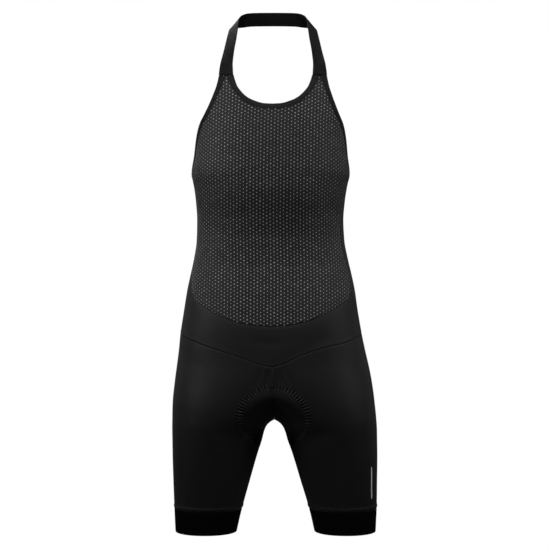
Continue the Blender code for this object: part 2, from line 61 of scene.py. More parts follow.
# Walls, and the play between pieces.
CLOTH_WALL = 1.0
GRIPPER_WALL = 1.5
STRAP_WALL = 1.5
SEAM_GAP = 0.15
STRAP_PLAY = 0.4

# The folded tapes, which widen towards the bib's tips. Round a tape, the points of a ring lie
# a step apart on its flat cloth.
BINDING_WIDTH = 7.5
BINDING_FLARE, BINDING_FLARE_FROM = 4.0, 312.0
BINDING_PLAY = 0.15
BINDING_WALL = 0.8
BINDING_RING_STEP = 1.5

# Heights of the garment's ends, and those where a panel's rows turn level.
BIB_TIP = 362.0
BINDING_END = 340.8
STRAP_END = 341.5
UNDERARM = 175.0
NECK_DIP = 288.8
BIB_LEVEL = 30.0
LEG_LEVEL = -186.0
CROTCH = -250.4
GRIPPER_TOP = -406.0
HEM = -446.0

# How many rows a leg has down to a height, below its level row and above its last stretch.
# They are closest together at the crotch.
LEG_ROWS = ((-244.0, 44), (-256.0, 18), (-300.0, 32), (-394.0, 24))

# The mesh's dots: pitch across and along, the radii where one starts to fade and is gone, those
# where the dark rim round it starts to fade and is gone, and how far a dot wanders.
DOT_COLUMN, DOT_ROW = 5.67, 6.02
DOT_CORE, DOT_EDGE = 0.55, 1.35
RIM_CORE, RIM_EDGE = 1.6, 2.7
DOT_WANDER = 1.8

# Where the mesh's flanks, with fainter knots and painted light, and the painted shade towards the top
# of the bib's middle begin to show in it, and are full.
FLANK_LIGHT_FROM, FLANK_LIGHT_FULL = 35.0, 105.0
CHEST_SHADE_FROM, CHEST_SHADE_FULL = 120.0, 240.0

# A stitch's radius, how far its middle lies above the cloth, and half of the zigzag's width.
STITCH_RADIUS, STITCH_RISE = 0.22, 0.06
ZIGZAG_HALF_WIDTH = 1.4

# The plain reflective bar on the left leg.
BAR_TOP, BAR_BOTTOM = -329.0, -385.0
BAR_FROM_MIDDLE = 165.5
BAR_HALF_WIDTH = 1.9


def make_table(names, *rows):
    """Columns of sizes by their names."""
    return dict(zip(names.split(), np.array(rows).T))


FIGURE = make_table(
    "height outer front back widest front_power back_power sway",
    (380.0, 137.0, 56.0, 50.0, 0.0, 2.5, 2.3, -1.6),
    (343.0, 136.0, 71.0, 70.0, 0.0, 2.5, 2.3, -1.6),
    (300.0, 135.0, 87.0, 86.0, 0.0, 2.5, 2.3, -2.4),
    (250.0, 133.0, 101.0, 95.0, 0.0, 2.6, 2.3, -4.4),
    (210.0, 133.8, 108.5, 97.0, 0.0, 2.6, 2.3, -5.0),
    (UNDERARM, 137.0, 112.0, 96.0, 0.0, 2.6, 2.3, -5.6),
    (150.0, 133.0, 111.7, 92.0, 0.0, 2.5, 2.3, -5.8),
    (131.0, 130.3, 109.0, 88.0, 0.0, 2.5, 2.3, -6.0),
    (96.0, 127.7, 100.5, 83.0, 0.0, 2.4, 2.3, -6.3),
    (61.0, 129.0, 94.5, 82.0, 0.0, 2.4, 2.3, -5.8),
    (26.0, 134.9, 94.0, 88.0, 0.0, 2.4, 2.3, -5.1),
    (0.0, 140.8, 97.0, 95.0, 0.0, 2.4, 2.3, -4.8),
    (-26.0, 146.3, 100.0, 103.0, 0.0, 2.4, 2.3, -4.9),
    (-61.0, 151.6, 103.0, 112.0, 0.0, 2.4, 2.3, -5.2),
    (-96.0, 157.3, 105.0, 118.0, 0.0, 2.4, 2.3, -5.0),
    (-131.0, 162.7, 105.5, 120.0, 0.0, 2.4, 2.3, -3.2),
    (-161.0, 168.1, 105.0, 119.0, 0.0, 2.4, 2.3, -1.7),
    (-184.0, 171.8, 104.0, 116.0, -1.0, 2.35, 2.3, -1.0),
    (-219.0, 176.0, 101.0, 109.0, -2.0, 2.3, 2.25, -0.4),
    (CROTCH, 178.0, 96.5, 99.0, -2.0, 2.25, 2.2, 0.8),
    (-271.0, 178.7, 92.0, 91.5, -2.5, 2.2, 2.2, 1.3),
    (-306.0, 178.7, 85.0, 80.0, -3.0, 2.2, 2.15, 1.9),
    (-359.0, 177.7, 76.0, 67.0, -4.0, 2.15, 2.1, 2.4),
    (-411.0, 176.3, 68.0, 57.0, -5.0, 2.1, 2.1, 3.0),
    (HEM, 174.6, 63.5, 52.0, -5.5, 2.1, 2.1, 3.0),
)
INNER = make_table(
    "height inner",
    (-138.0, -163.9),
    (-150.0, -159.0),
    (-163.0, -145.0),
    (-176.0, -123.0),
    (-190.0, -97.0),
    (-219.0, -45.0),
    (-240.0, -15.0),
    (CROTCH, -2.0),
    (-259.0, 7.0),
    (-271.0, 15.5),
    (-289.0, 22.5),
    (-306.0, 28.7),
    (-359.0, 44.5),
    (-411.0, 59.5),
    (HEM, 67.6),
)
ARCH = make_table(
    "height width",
    (CROTCH, 0.0),
    (-251.7, 5.3),
    (-254.2, 8.8),
    (-257.4, 12.2),
    (-263.0, 15.4),
    (-271.0, 18.3),
    (-289.0, 22.9),
    (-306.0, 28.7),
    (HEM, 67.6),
)
NECK = make_table(
    "height width",
    (NECK_DIP, 0.0),
    (289.6, 14.0),
    (291.0, 21.0),
    (293.4, 28.0),
    (296.2, 35.0),
    (300.0, 42.0),
    (305.3, 48.6),
    (312.8, 55.4),
    (321.0, 61.2),
    (331.0, 65.0),
    (340.0, 67.6),
    (349.0, 69.0),
    (363.0, 70.5),
)
ARMHOLE = make_table(
    "height share",
    (UNDERARM, 0.523),
    (177.5, 0.503),
    (182.0, 0.484),
    (189.0, 0.464),
    (197.0, 0.448),
    (207.0, 0.435),
    (219.0, 0.422),
    (231.0, 0.409),
    (245.0, 0.390),
    (258.0, 0.367),
    (274.0, 0.332),
    (291.0, 0.306),
    (308.0, 0.2875),
    (325.0, 0.275),
    (342.0, 0.271),
    (363.0, 0.2715),
)
BIB_SEAM = make_table(
    "share height",
    (0.0, -86.3),
    (0.07, -84.0),
    (0.14, -78.0),
    (0.215, -66.5),
    (0.28, -54.0),
    (0.35, -39.5),
    (0.385, -26.0),
)
LEG_SEAM = make_table(
    "share height",
    (0.0, -155.5),
    (0.055, -148.7),
    (0.1, -139.5),
    (0.15, -132.0),
    (0.2, -125.5),
    (0.27, -118.3),
    (0.33, -111.7),
    (0.41, -104.0),
    (0.49, -100.0),
    (0.65, -99.0),
    (0.85, -106.0),
    (1.0, -112.0),
)
LEG_SEAM_SKEW = 2.5
LEG_SEAM_SKEW_END = 0.3
BACK_EDGE = make_table(
    "step height",
    (0.0, UNDERARM),
    (0.12, 166.0),
    (0.3, 143.0),
    (0.5, 115.0),
    (0.7, 92.0),
    (0.85, 82.0),
    (0.95, 79.0),
    (1.0, 78.6),
)
SIDE_SEAM = make_table(
    "height left right",
    (UNDERARM, 0.523, 0.523),
    (122.0, 0.485, 0.525),
    (95.0, 0.425, 0.520),
    (72.0, 0.398, 0.510),
    (36.0, 0.402, 0.485),
    (5.0, 0.420, 0.440),
    (-26.0, 0.385, 0.385),
    (-57.0, 0.398, 0.366),
    (-110.0, 0.414, 0.360),
)

# The strap's left half from the nape to the bib: its upper and lower edge as x, y and height.
STRAP = (
    (0.0, 57.5, 469.0, 0.0, 58.5, 445.0),
    (36.0, 51.5, 467.5, 36.5, 54.0, 443.6),
    (48.5, 38.0, 463.0, 53.0, 44.0, 440.0),
    (55.5, 16.0, 455.0, 69.0, 21.0, 434.5),
    (58.5, -8.0, 445.0, 75.0, -2.0, 428.5),
    (60.6, -30.0, 424.5, 77.6, -16.0, 417.5),
    (63.0, -44.0, 404.6, 81.0, -28.0, 400.5),
    (66.0, -53.0, 386.0, 84.8, -40.0, 382.0),
)
# Where it lies on the bib's tip: a height, and how far its edges are from the middle.
STRAP_SEWN = ((364.0, 68.4, 89.0), (353.0, 68.2, 90.8), (STRAP_END, 67.5, 92.0))
STRAP_WIDTH = 24.5

# The pad's run goes from -1 at its front end to 1 at its back end.
PAD_FRONT_TOP, PAD_BACK_TOP = -190.0, -150.0
PAD_HALF_LENGTH = 190.0
PAD_PLAY = 3.7
PAD_THICKNESS, PAD_RIM, PAD_CROWN = 1.2, 0.8, 5.6

# Its channels, along it and across each half: how deep, and place and width as parts of its size.
PAD_CHANNEL = 1.5
PAD_LONG_CHANNELS = ((0.34, 0.05), (0.72, 0.04))
PAD_CROSS_CHANNEL, PAD_CROSS_WIDTH = 0.62, 0.012
PAD = make_table(
    "run half_width",
    (-1.0, 4.0),
    (-0.985, 14.0),
    (-0.96, 26.0),
    (-0.93, 42.0),
    (-0.876, 54.0),
    (-0.8, 52.0),
    (-0.65, 40.0),
    (-0.5, 31.0),
    (-0.3, 24.5),
    (0.0, 20.5),
    (0.3, 26.0),
    (0.5, 36.0),
    (0.7, 54.0),
    (0.85, 70.0),
    (0.93, 66.0),
    (0.98, 44.0),
    (1.0, 14.0),
)

# Soft troughs and ridges of the cloth. Each runs from one place to another, seen from the
# front or the back, and dies away over its width: face, x and height of its start and of its
# end, width and depth, in millimetres. A trough's depth is negative.
FRONT_FACE, BACK_FACE = -1.0, 1.0
FOLDS = (
    (FRONT_FACE, -9.0, -163.0, -13.0, -186.0, 2.8, -1.5),
    (FRONT_FACE, -4.5, -160.0, -5.5, -187.0, 2.4, -1.3),
    (FRONT_FACE, 4.5, -161.0, 6.5, -187.0, 2.6, -1.5),
    (FRONT_FACE, 12.0, -162.0, 17.5, -185.0, 3.0, -1.2),
    (FRONT_FACE, 20.0, -158.0, 30.0, -183.0, 3.6, -0.9),
    (FRONT_FACE, -18.0, -158.0, -25.0, -182.0, 3.4, -0.8),
    (FRONT_FACE, -156.0, -200.0, -160.0, -390.0, 8.0, -1.6),
    (FRONT_FACE, -146.0, -118.0, -112.0, -146.0, 13.0, 0.6),
    (FRONT_FACE, 92.0, -262.0, 60.0, -285.0, 14.0, -1.2),
    (FRONT_FACE, 128.0, -150.0, 150.0, -190.0, 12.0, -1.0),
    (FRONT_FACE, -96.0, -250.0, -70.0, -290.0, 14.0, -1.0),
    (FRONT_FACE, 60.0, -120.0, 96.0, -104.0, 9.0, -0.7),
    (FRONT_FACE, -30.0, -112.0, 18.0, -116.0, 8.0, -0.8),
    (FRONT_FACE, -75.0, 40.0, -52.0, 96.0, 16.0, 0.8),
    (FRONT_FACE, 70.0, 60.0, 52.0, 120.0, 18.0, 0.8),
    (FRONT_FACE, -112.0, 120.0, -84.0, 150.0, 10.0, -0.9),
    (FRONT_FACE, 112.0, 108.0, 82.0, 144.0, 10.0, -0.9),
    (BACK_FACE, -105.0, -268.0, -40.0, -276.0, 9.0, -1.8),
    (BACK_FACE, -118.0, -292.0, -62.0, -300.0, 8.0, -1.0),
    (BACK_FACE, 44.0, -272.0, 112.0, -262.0, 8.0, -1.6),
    (BACK_FACE, 70.0, -298.0, 120.0, -289.0, 7.0, -1.1),
    (BACK_FACE, -62.0, -64.0, 10.0, -54.0, 12.0, -1.4),
    (BACK_FACE, -20.0, -22.0, 66.0, -34.0, 11.0, -1.2),
    (BACK_FACE, -84.0, 24.0, -30.0, 12.0, 12.0, -1.1),
    (BACK_FACE, 30.0, 42.0, 96.0, 64.0, 13.0, -1.2),
    (BACK_FACE, 118.0, -60.0, 96.0, -98.0, 10.0, -0.9),
    (BACK_FACE, -128.0, -66.0, -100.0, -92.0, 9.0, -0.8),
)

# The rings of stitches round the pad's front and back lobes: face, x and height of the middle,
# radii across and up, number of puckers, how wide and deep they are, and how far the cloth
# swells inside.
RINGS = (
    (FRONT_FACE, -1.0, -243.0, 57.0, 53.0, 66, 5.4, 1.25, 4.2),
    (BACK_FACE, 0.0, -222.0, 70.0, 72.0, 82, 5.0, 0.9, 1.4),
)

# Grooves and ridges beside the seams: how far off, how high or deep, and how wide each one is.
SEAM_SHAPES = {
    "bib": ((0.0, -0.3, 1.1),),
    "leg": ((2.8, 0.2, 1.8), (0.0, -0.55, 1.3)),
    "side": ((0.0, -0.9, 1.5),),
    "centre": ((1.9, 0.45, 1.0), (0.0, -0.5, 0.8)),
    "band": ((5.0, 0.9, 2.6), (0.0, -0.5, 1.2)),
}
SEAM_FADE = 6.0

# How far the lower front panel steps in under the mesh, and over what lengths it goes in and
# comes out again.
STEP_IN, STEP_START, STEP_END = 1.3, 0.6, 3.5


def cubic(t, start, end, leaving, arriving):
    """Curve from start to end as t goes from 0 to 1, with its slopes there: (1 + 2t)(1 - t)^2
    start + t^2(3 - 2t) end + t(1 - t)^2 leaving - t^2(1 - t) arriving."""
    return (
        (1 + 2 * t) * (1 - t) ** 2 * start
        + t * t * (3 - 2 * t) * end
        + t * (1 - t) ** 2 * leaving
        - t * t * (1 - t) * arriving
    )


def steady_curve(x, y, at):
    """Cubic through the points (x, y) that rises and falls only where they do: its slope at a
    point is the harmonic mean of the slopes beside it, or 0 where these differ in sign."""
    order = np.argsort(x)
    x, y = x[order], y[order]
    step = np.diff(x)
    slope = np.diff(y) / step
    tangent = np.zeros(len(x))
    same = slope[1:] * slope[:-1] > 0
    before, after = slope[:-1][same], slope[1:][same]
    tangent[1:-1][same] = 2 * before * after / (before + after)
    tangent[0], tangent[-1] = slope[0], slope[-1]
    at = np.clip(at, x[0], x[-1])
    i = np.clip(np.searchsorted(x, at) - 1, 0, len(step) - 1)
    t = (at - x[i]) / step[i]
    return cubic(t, y[i], y[i + 1], step[i] * tangent[i], step[i] * tangent[i + 1])


def read(table, by, name, at):
    """A column of a table at values of another, on a smooth curve through its rows."""
    return steady_curve(table[by], table[name], np.asarray(at, float))


def run_along(points):
    """Length along a path from its start to each of its points."""
    return np.concatenate(([0.0], np.cumsum(np.linalg.norm(np.diff(points, axis=0), axis=1))))


def figure_sizes(height):
    """The figure's columns from outer to sway, at heights."""
    return [read(FIGURE, "height", name, height) for name in list(FIGURE)[1:]]


def inner_edge(height, outer):
    """Where a section's oval starts: at the body's far side, or inside the leg further down."""
    inside = read(INNER, "height", "inner", height)
    return np.where(height >= INNER["height"][0], -outer, inside)


# The shares and levels of the figure's tables. Levels are closest together at the crotch.
SHARES = np.linspace(0, 1, 361)
ROUND_CROTCH = np.concatenate((np.arange(-262, -238, 0.5), [CROTCH, CROTCH + 0.05]))
LEVELS = np.unique(np.concatenate((np.arange(HEM - 4, 382, 2.0), ROUND_CROTCH)))


def figure_tables():
    """Points, outward normals and lengths of the left half's sections, by level and share.

    A section is an oval of two half superellipses: x = middle + half * sin(turn)^(2 / power),
    y = widest - depth * cos(turn)^(2 / power), with a power and a depth for its front and for
    its back. It is cut off by the middle of the body above the crotch and by its arch below.
    A share is a part of its length; towards the crotch the inner shares crowd together.
    """
    sizes = np.array(figure_sizes(LEVELS))
    inner = inner_edge(LEVELS, sizes[0])
    arch = read(ARCH, "height", "width", LEVELS)
    points = np.zeros((len(LEVELS), len(SHARES), 3))
    lengths = np.zeros(len(LEVELS))
    half_share = 2 * np.minimum(SHARES, 1 - SHARES)
    for i, level in enumerate(LEVELS):
        outer, front, back, widest, front_power, back_power, _ = sizes[:, i]
        middle, half = (outer + inner[i]) / 2, (outer - inner[i]) / 2
        past = middle / half if level > CROTCH else 1.0
        start = -math.asin(past ** (front_power / 2))
        turn = np.linspace(start, math.pi + math.asin(past ** (back_power / 2)), 481)
        sine, cosine = np.sin(turn), np.cos(turn)
        power = np.where(cosine > 0, front_power, back_power)
        depth = np.where(cosine > 0, front + widest, back - widest)
        x = np.maximum(middle + half * np.sign(sine) * np.abs(sine) ** (2 / power), arch[i])
        y = widest - depth * np.sign(cosine) * np.abs(cosine) ** (2 / power)
        along = run_along(np.stack((x, y), 1))
        cut = 0.5 + start / math.pi
        crowd = np.interp(level, (CROTCH, LEG_LEVEL), (1.0, 0.0)) if cut > 0 else 0.0
        bent = (np.hypot(half_share, cut) - cut) / (math.hypot(1.0, cut) - cut)
        place = half_share + crowd * (bent - half_share)
        place = np.where(SHARES < 0.5, place / 2, 1 - place / 2) * along[-1]
        points[i, :, 0] = np.interp(place, along, x)
        points[i, :, 1] = np.interp(place, along, y)
        points[i, :, 2] = level
        lengths[i] = along[-1]
    normals = np.cross(np.gradient(points, axis=1), np.gradient(points, LEVELS, axis=0))
    normals[LEVELS > CROTCH, 0, 0] = 0.0
    normals[LEVELS > CROTCH, -1, 0] = 0.0
    normals /= np.linalg.norm(normals, axis=2)[:, :, None]
    return points, normals, lengths


POINTS, NORMALS, LENGTHS = figure_tables()


def look_up(table, share, height):
    """Values of a table of the figure at places, on straight lines between its entries."""
    i = np.clip(np.searchsorted(LEVELS, height) - 1, 0, len(LEVELS) - 2)
    t = np.clip((height - LEVELS[i]) / (LEVELS[i + 1] - LEVELS[i]), 0, 1)[..., None]
    place = np.clip(share, 0, 1) * (len(SHARES) - 1)
    j = np.minimum(place.astype(int), len(SHARES) - 2)
    f = (place - j)[..., None]
    low = table[i, j] * (1 - f) + table[i, j + 1] * f
    high = table[i + 1, j] * (1 - f) + table[i + 1, j + 1] * f
    return low * (1 - t) + high * t


def length_round(height):
    """Length of the left half's section at a height."""
    return np.interp(height, LEVELS, LENGTHS)


def share_at_width(width, height):
    """Shares on the front that lie so far from the middle, at heights: on a straight line
    between the two entries of a section, before its widest, that have the width between them."""
    width, height = np.broadcast_arrays(np.asarray(width, float), np.asarray(height, float))
    width = width[..., None]
    x = look_up(POINTS, SHARES, height[..., None])[..., 0]
    peak = np.argmax(x, axis=-1)[..., None]
    nearer = (x <= width) & (np.arange(len(SHARES)) < peak)
    i = np.clip(nearer.sum(-1, keepdims=True) - 1, 0, peak - 1)
    low, high = [np.take_along_axis(x, index, -1) for index in (i, i + 1)]
    part = np.clip((width - low) / (high - low), 0, 1)
    return (SHARES[i] + part * (SHARES[i + 1] - SHARES[i]))[..., 0]


def side_seam(height, side):
    """Share of the side seam at a height."""
    return read(SIDE_SEAM, "height", "left" if side > 0 else "right", height)


def bib_seam(share):
    """Height of the curved seam over the belly at a share."""
    return read(BIB_SEAM, "share", "height", share)


def leg_seam(share, side):
    """Height of the V seam and the hip seam: the table's, tilted by skew * sin(pi * share)."""
    skew = np.sin(math.pi * np.minimum(share / LEG_SEAM_SKEW_END, 1.0))
    return read(LEG_SEAM, "share", "height", share) + side * LEG_SEAM_SKEW * skew


def bump(distance, width):
    """Soft ridge: exp(-(distance / width)^2)."""
    return np.exp(-((distance / width) ** 2))


def fold_relief(x, height, back_facing):
    """Folds: each is depth * exp(-(distance to its line / width)^2), fades along the line as a
    sine, and shows only on the face that it names."""
    out = np.zeros(np.shape(x))
    for face, x0, height0, x1, height1, width, depth in FOLDS:
        run = np.array((x1 - x0, height1 - height0))
        part = np.clip(((x - x0) * run[0] + (height - height0) * run[1]) / (run @ run), 0, 1)
        off = np.hypot(x - x0 - part * run[0], height - height0 - part * run[1])
        facing = np.clip(2 * face * back_facing, 0, 1)
        out += depth * bump(off, width) * facing * np.sin(math.pi * (0.15 + 0.7 * part))
    return out


def seam_shape(seam, distance):
    """A seam's grooves and ridges: the sum of depth * exp(-((distance - off) / width)^2)."""
    return sum(depth * bump(distance - off, width) for off, depth, width in SEAM_SHAPES[seam])


def seam_relief(share, height, side, from_middle):
    """Seams' grooves and ridges by the distance from each line. The lower panel steps in by
    step (1 - exp(-distance / start)) exp(-distance / end) under the mesh."""
    seam, length = side_seam(height, side), length_round(height)
    top = leg_seam(share, side)
    before_side = np.clip((seam - share) * length / SEAM_FADE, 0, 1)
    above, below = [np.clip(way * (height - top) / SEAM_FADE, 0, 1) for way in (1, -1)]
    under = np.maximum(bib_seam(share) - height, 0.0)
    out = -STEP_IN * np.exp(-under / STEP_END) * (1 - np.exp(-under / STEP_START))
    out = (out + seam_shape("bib", height - bib_seam(share))) * before_side
    out += seam_shape("leg", height - top) + above * seam_shape("side", (share - seam) * length)
    out += seam_shape("centre", from_middle) * below * np.clip((height - CROTCH) / 4, 0, 1)
    return out + seam_shape("band", height - GRIPPER_TOP)


def ring_relief(x, height, back_facing):
    """Puckers depth * cos(puckers * angle) across the pad's rings, a groove along them and a
    swell inside. The angle is measured round the ring from its top."""
    out = np.zeros(np.shape(x))
    for face, middle, level, radius_x, radius_z, puckers, width, depth, swell in RINGS:
        across, up = (x - middle) / radius_x, (height - level) / radius_z
        off = (np.hypot(across, up) - 1) * radius_x
        angle = np.arctan2(across, up)
        facing = np.clip(5 * face * back_facing, 0, 1)
        uneven = 1 + 0.25 * np.sin(5 * angle) * np.sin(11 * angle + 1)
        wave = np.cos(puckers * angle + 0.5 * np.sin(7 * angle))
        swelling = swell * bump(off + 17, 14.0) * np.clip(np.cos(angle), 0, 1)
        out += facing * (uneven * depth * bump(off, width) * wave + swelling - 0.5 * bump(off, 1.6))
    return out


def relief(share, height, side):
    """How far the cloth stands out from the figure."""
    point, back_facing = look_up(POINTS, share, height), look_up(NORMALS, share, height)[..., 1]
    x = side * point[..., 0]
    out = fold_relief(x, height, back_facing) + ring_relief(x, height, back_facing)
    return out + seam_relief(share, height, side, np.abs(point[..., 0]))


def surface(share, height, side, rise=0.0):
    """Points of the cloth's outer face, in metres in the frame, and its normals: the figure's
    points, moved out along their normals by the relief and the rise, then sideways by the sway."""
    share, height = np.broadcast_arrays(np.asarray(share, float), np.asarray(height, float))
    normal = look_up(NORMALS, share, height)
    point = look_up(POINTS, share, height) + (relief(share, height, side) + rise)[..., None] * normal
    point = point * (side, 1, 1)
    point[..., 0] += read(FIGURE, "height", "sway", height)
    return (point - NAPE) * MM, normal * (side, 1, 1)


def grid_faces(rows, columns, flip=False, around=False):
    """Faces of a grid of points, as rows of four corners."""
    corner = np.arange(rows * columns).reshape(rows, columns)
    if around:
        corner = np.concatenate((corner, corner[:, :1]), 1)
    corners = (corner[:-1, :-1], corner[:-1, 1:], corner[1:, 1:], corner[1:, :-1])
    faces = np.stack(corners, -1).reshape(-1, 4)
    return faces[:, ::-1] if flip else faces


def lay_flat(mesh, uv, corners):
    """Gives a mesh its place on the flat cloth, for the corners of its faces."""
    layer = mesh.uv_layers.new(name="cloth")
    layer.data.foreach_set("uv", uv[corners].astype(np.float32).ravel())


def add_piece(name, mesh, material, replaces, slot, wall=0.0, outwards=False, creased=True):
    """Puts a mesh into the scene as a piece that rides on the garment's one body. A wall makes
    an open sheet a shell."""
    mesh.materials.append(material)
    mesh.shade_smooth()
    piece = bpy.data.objects.new(name, mesh)
    bpy.context.scene.collection.objects.link(piece)
    if wall:
        shell = piece.modifiers.new("wall", "SOLIDIFY")
        shell.thickness = wall * MM
        shell.offset = 1.0 if outwards else -1.0
        shell.use_quality_normals = True
        shown = piece.evaluated_get(bpy.context.evaluated_depsgraph_get())
        piece.data = bpy.data.meshes.new_from_object(shown)
        piece.modifiers.clear()
    if creased:
        piece.data.set_sharp_from_angle(angle=SHARP)
    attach(piece, "root")
    if replaces:
        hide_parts(*replaces)
    return piece


def new_piece(name, points, faces, uv, material, replaces, slot, **shell):
    """A piece from points, faces and each point's place on the flat cloth, in metres. Points
    that coincide are joined."""
    joined, index = np.unique(np.round(points, 6), axis=0, return_inverse=True)
    mesh = bpy.data.meshes.new(name)
    mesh.from_pydata(joined.tolist(), [], index.reshape(-1)[faces].tolist())
    lay_flat(mesh, uv, faces.reshape(-1))
    return add_piece(name, mesh, material, replaces, slot, **shell)


def cloth_piece(name, halves, material, replaces, slot, wall=CLOTH_WALL):
    """A panel from one or two grids of shares and heights, each with its side."""
    points, faces, uv = [], [], []
    count = 0
    for share, height, side in halves:
        grid, _ = surface(share, height, side)
        flat = np.stack((side * share * length_round(height), height), -1) * MM
        downwards = height[0, 0] > height[-1, 0]
        faces.append(grid_faces(*share.shape, flip=(side < 0) != downwards) + count)
        points.append(grid.reshape(-1, 3))
        uv.append(flat.reshape(-1, 2))
        count += share.size
    points, faces, uv = [np.concatenate(parts) for parts in (points, faces, uv)]
    return new_piece(name, points, faces, uv, material, replaces, slot, wall=wall)


# Steps away from a seam, in millimetres.
EDGE_STEPS = np.array((SEAM_GAP, 0.5, 1.0, 1.5, 2.1, 2.8, 3.7, 5.0, 7.0))


def crowded_steps(length, spacing, first=True, last=True):
    """Parts of a length, even but crowded together at its ends, where seams are. A seam's end
    stops half of the seam's gap short."""
    start = EDGE_STEPS if first else np.zeros(1)
    end = length - EDGE_STEPS[::-1] if last else np.array((length,))
    count = max(int((end[0] - start[-1]) / spacing), 1)
    return np.concatenate((start, np.linspace(start[-1], end[0], count + 1)[1:-1], end)) / length


def row_between(low, high, part, across, side):
    """A row of a panel, part of the way up from one seam to another and from the middle to the
    side seam. The side seam's share depends on the row's height, so it is found in six rounds."""
    height = low(np.zeros(len(across)))
    for _ in range(6):
        share = across * side_seam(height, side)
        height = (1 - part) * low(share) + part * high(share)
    return share, height


def bib_half(side):
    """Rows of the bib: part by part up from its curved seam to a level row, then level rows to
    the tip. A row goes from the middle, or the neckline, to the side seam or the armhole."""
    across = crowded_steps(130, 3.6, first=False)
    parts = crowded_steps(95, 3.5, last=False)[:-1]
    rows = [row_between(bib_seam, lambda _: BIB_LEVEL, part, across, side) for part in parts]
    levels = np.concatenate((
        np.arange(BIB_LEVEL, UNDERARM, 3.6),
        UNDERARM + (NECK_DIP - 0.8 - UNDERARM) * np.linspace(0, 1, 40) ** 1.35,
        NECK_DIP + (BIB_TIP - NECK_DIP) * np.linspace(0, 1, 44) ** 2,
    ))
    for level in levels:
        inner = 0.0
        if level > NECK_DIP:
            inner = share_at_width(read(NECK, "height", "width", level), level)
        outer = side_seam(level, side)
        if level > UNDERARM:
            outer = read(ARMHOLE, "height", "share", level)
        rows.append((inner + (outer - inner) * across, np.full(len(across), level)))
    return *np.moveaxis(np.array(rows), 1, 0), side


def yoke_half(side):
    """Rows of the lower front panel, part by part from the V seam to the curved seam."""
    across = crowded_steps(140, 4.0, first=False)
    low = functools.partial(leg_seam, side=side)
    rows = [row_between(low, bib_seam, part, across, side) for part in crowded_steps(70, 2.5)]
    return *np.moveaxis(np.array(rows), 1, 0), side


def back_half(side):
    """Rows of the back panel, part by part from the hip seam to its edge. A step goes from the
    side seam, 0, to the centre back, 1, and the corner is the share where the seams meet."""
    step = crowded_steps(210, 3.8, last=False)
    part = crowded_steps(240, 3.8)[:, None]
    corner = 0.0
    for _ in range(8):
        corner = side_seam(leg_seam(corner, side), side)
    bottom = leg_seam(corner * (1 - step) + step, side)
    height = bottom + part * (read(BACK_EDGE, "step", "height", step) - bottom)
    return side_seam(height, side) * (1 - step) + step, height, side


def stretches(start, *ends):
    """Values from a start through the ends; each end says how many its stretch has."""
    starts = [start] + [end for end, _ in ends]
    steps = [np.linspace(low, high, count)[:-1] for low, (high, count) in zip(starts, ends)]
    return np.concatenate(steps + [[starts[-1]]])


def leg_grid(side):
    """Rows of a leg: part by part down from its seam to a level row, then level rows down to
    the gripper. Above the crotch a share keeps clear of the middle, where the legs' seam is."""
    edge = np.array((0.0, 0.8, 1.6, 2.4, 3.4)) / 480
    across = stretches(0.01, (0.26, 88), (0.72, 46), (0.99, 80))
    share = np.concatenate((edge, across, 1 - edge[::-1]))
    top = leg_seam(share, side)
    part = crowded_steps(55, 3.0, last=False)[:-1, None]
    above = (1 - part) * top + part * LEG_LEVEL
    levels = stretches(LEG_LEVEL, *LEG_ROWS, (GRIPPER_TOP + SEAM_GAP, 15))[:, None]
    height = np.concatenate((above, np.broadcast_to(levels, (len(levels), len(share)))))
    past = SEAM_GAP / length_round(height)
    return np.where(height > CROTCH, past + (1 - 2 * past) * share, share), height, side


def gripper_grid(side):
    """Level rows of a gripper."""
    share = np.linspace(0, 1, 121)
    height = GRIPPER_TOP - (GRIPPER_TOP - HEM) * crowded_steps(40, 3.0)
    height, share = np.meshgrid(height, share, indexing="ij")
    return share, height, side


def binding_rings(edge, inset, side):
    """Rings of a binding: a channel folded over an edge, with a rounded crown. A ring's points
    lie part of the tape's width beyond the inset, and at a rise out of the cloth."""
    (edge_point, edge_out), (inset_point, inset_out) = surface(*edge, side), surface(*inset, side)
    beyond = edge_point - inset_point
    width = np.linalg.norm(beyond, axis=1)[:, None]
    beyond /= width
    near, far = BINDING_PLAY * MM, (BINDING_PLAY + BINDING_WALL) * MM
    wall = CLOTH_WALL * MM

    def place(part, rise, further=0.0):
        out = inset_out * (1 - part) + edge_out * part
        return inset_point + part * width * beyond + rise * out + further * beyond

    outside = ((0.0, 0.75), (0.25, 1.05), (0.5, 0.8), (0.75, 1.08), (1.0, 1.0))
    ring = [place(part, rise * far) for part, rise in outside]
    for turn in (30, 75, 120, 150):
        angle = math.radians(turn)
        crown = math.sin(angle) * far * 1.15 * beyond
        ring.append(edge_point + crown + (math.cos(angle) * (wall / 2 + far) - wall / 2) * edge_out)
    ring += [place(part, -wall - far) for part in (1.0, 0.5, 0.0)]
    channel = ((0.0, -wall - near), (1.0, -wall - near), (1.0, near), (0.0, near))
    ring += [place(part, rise, part * near) for part, rise in channel]
    return np.stack(ring, 1)


def inset_path(share, height, cloth):
    """Places a binding's width in from those of a path down an edge that ends level. Cloth is
    1 where the panel lies before the edge and -1 where it is behind."""
    run = share * length_round(height)
    tangent = np.stack((np.gradient(run), np.gradient(height)), 1)
    tangent[-1, 1] = 0.0
    flare = np.clip((height - BINDING_FLARE_FROM) / (BINDING_END - BINDING_FLARE_FROM), 0, 1)
    width = BINDING_WIDTH + BINDING_FLARE * flare ** 2
    tangent *= cloth * (width / np.linalg.norm(tangent, axis=1))[:, None]
    inset_height = height - tangent[:, 0]
    return np.maximum((run + tangent[:, 1]) / length_round(inset_height), 0.0), inset_height


def neckline(side):
    """Edge and inset of the neckline from the bib's tip to the centre front, the same on both
    sides."""
    height = NECK_DIP + (BINDING_END - NECK_DIP) * np.linspace(1, 0, 48) ** 2
    share = share_at_width(read(NECK, "height", "width", height), height)
    return (share, height), inset_path(share, height, -1.0)


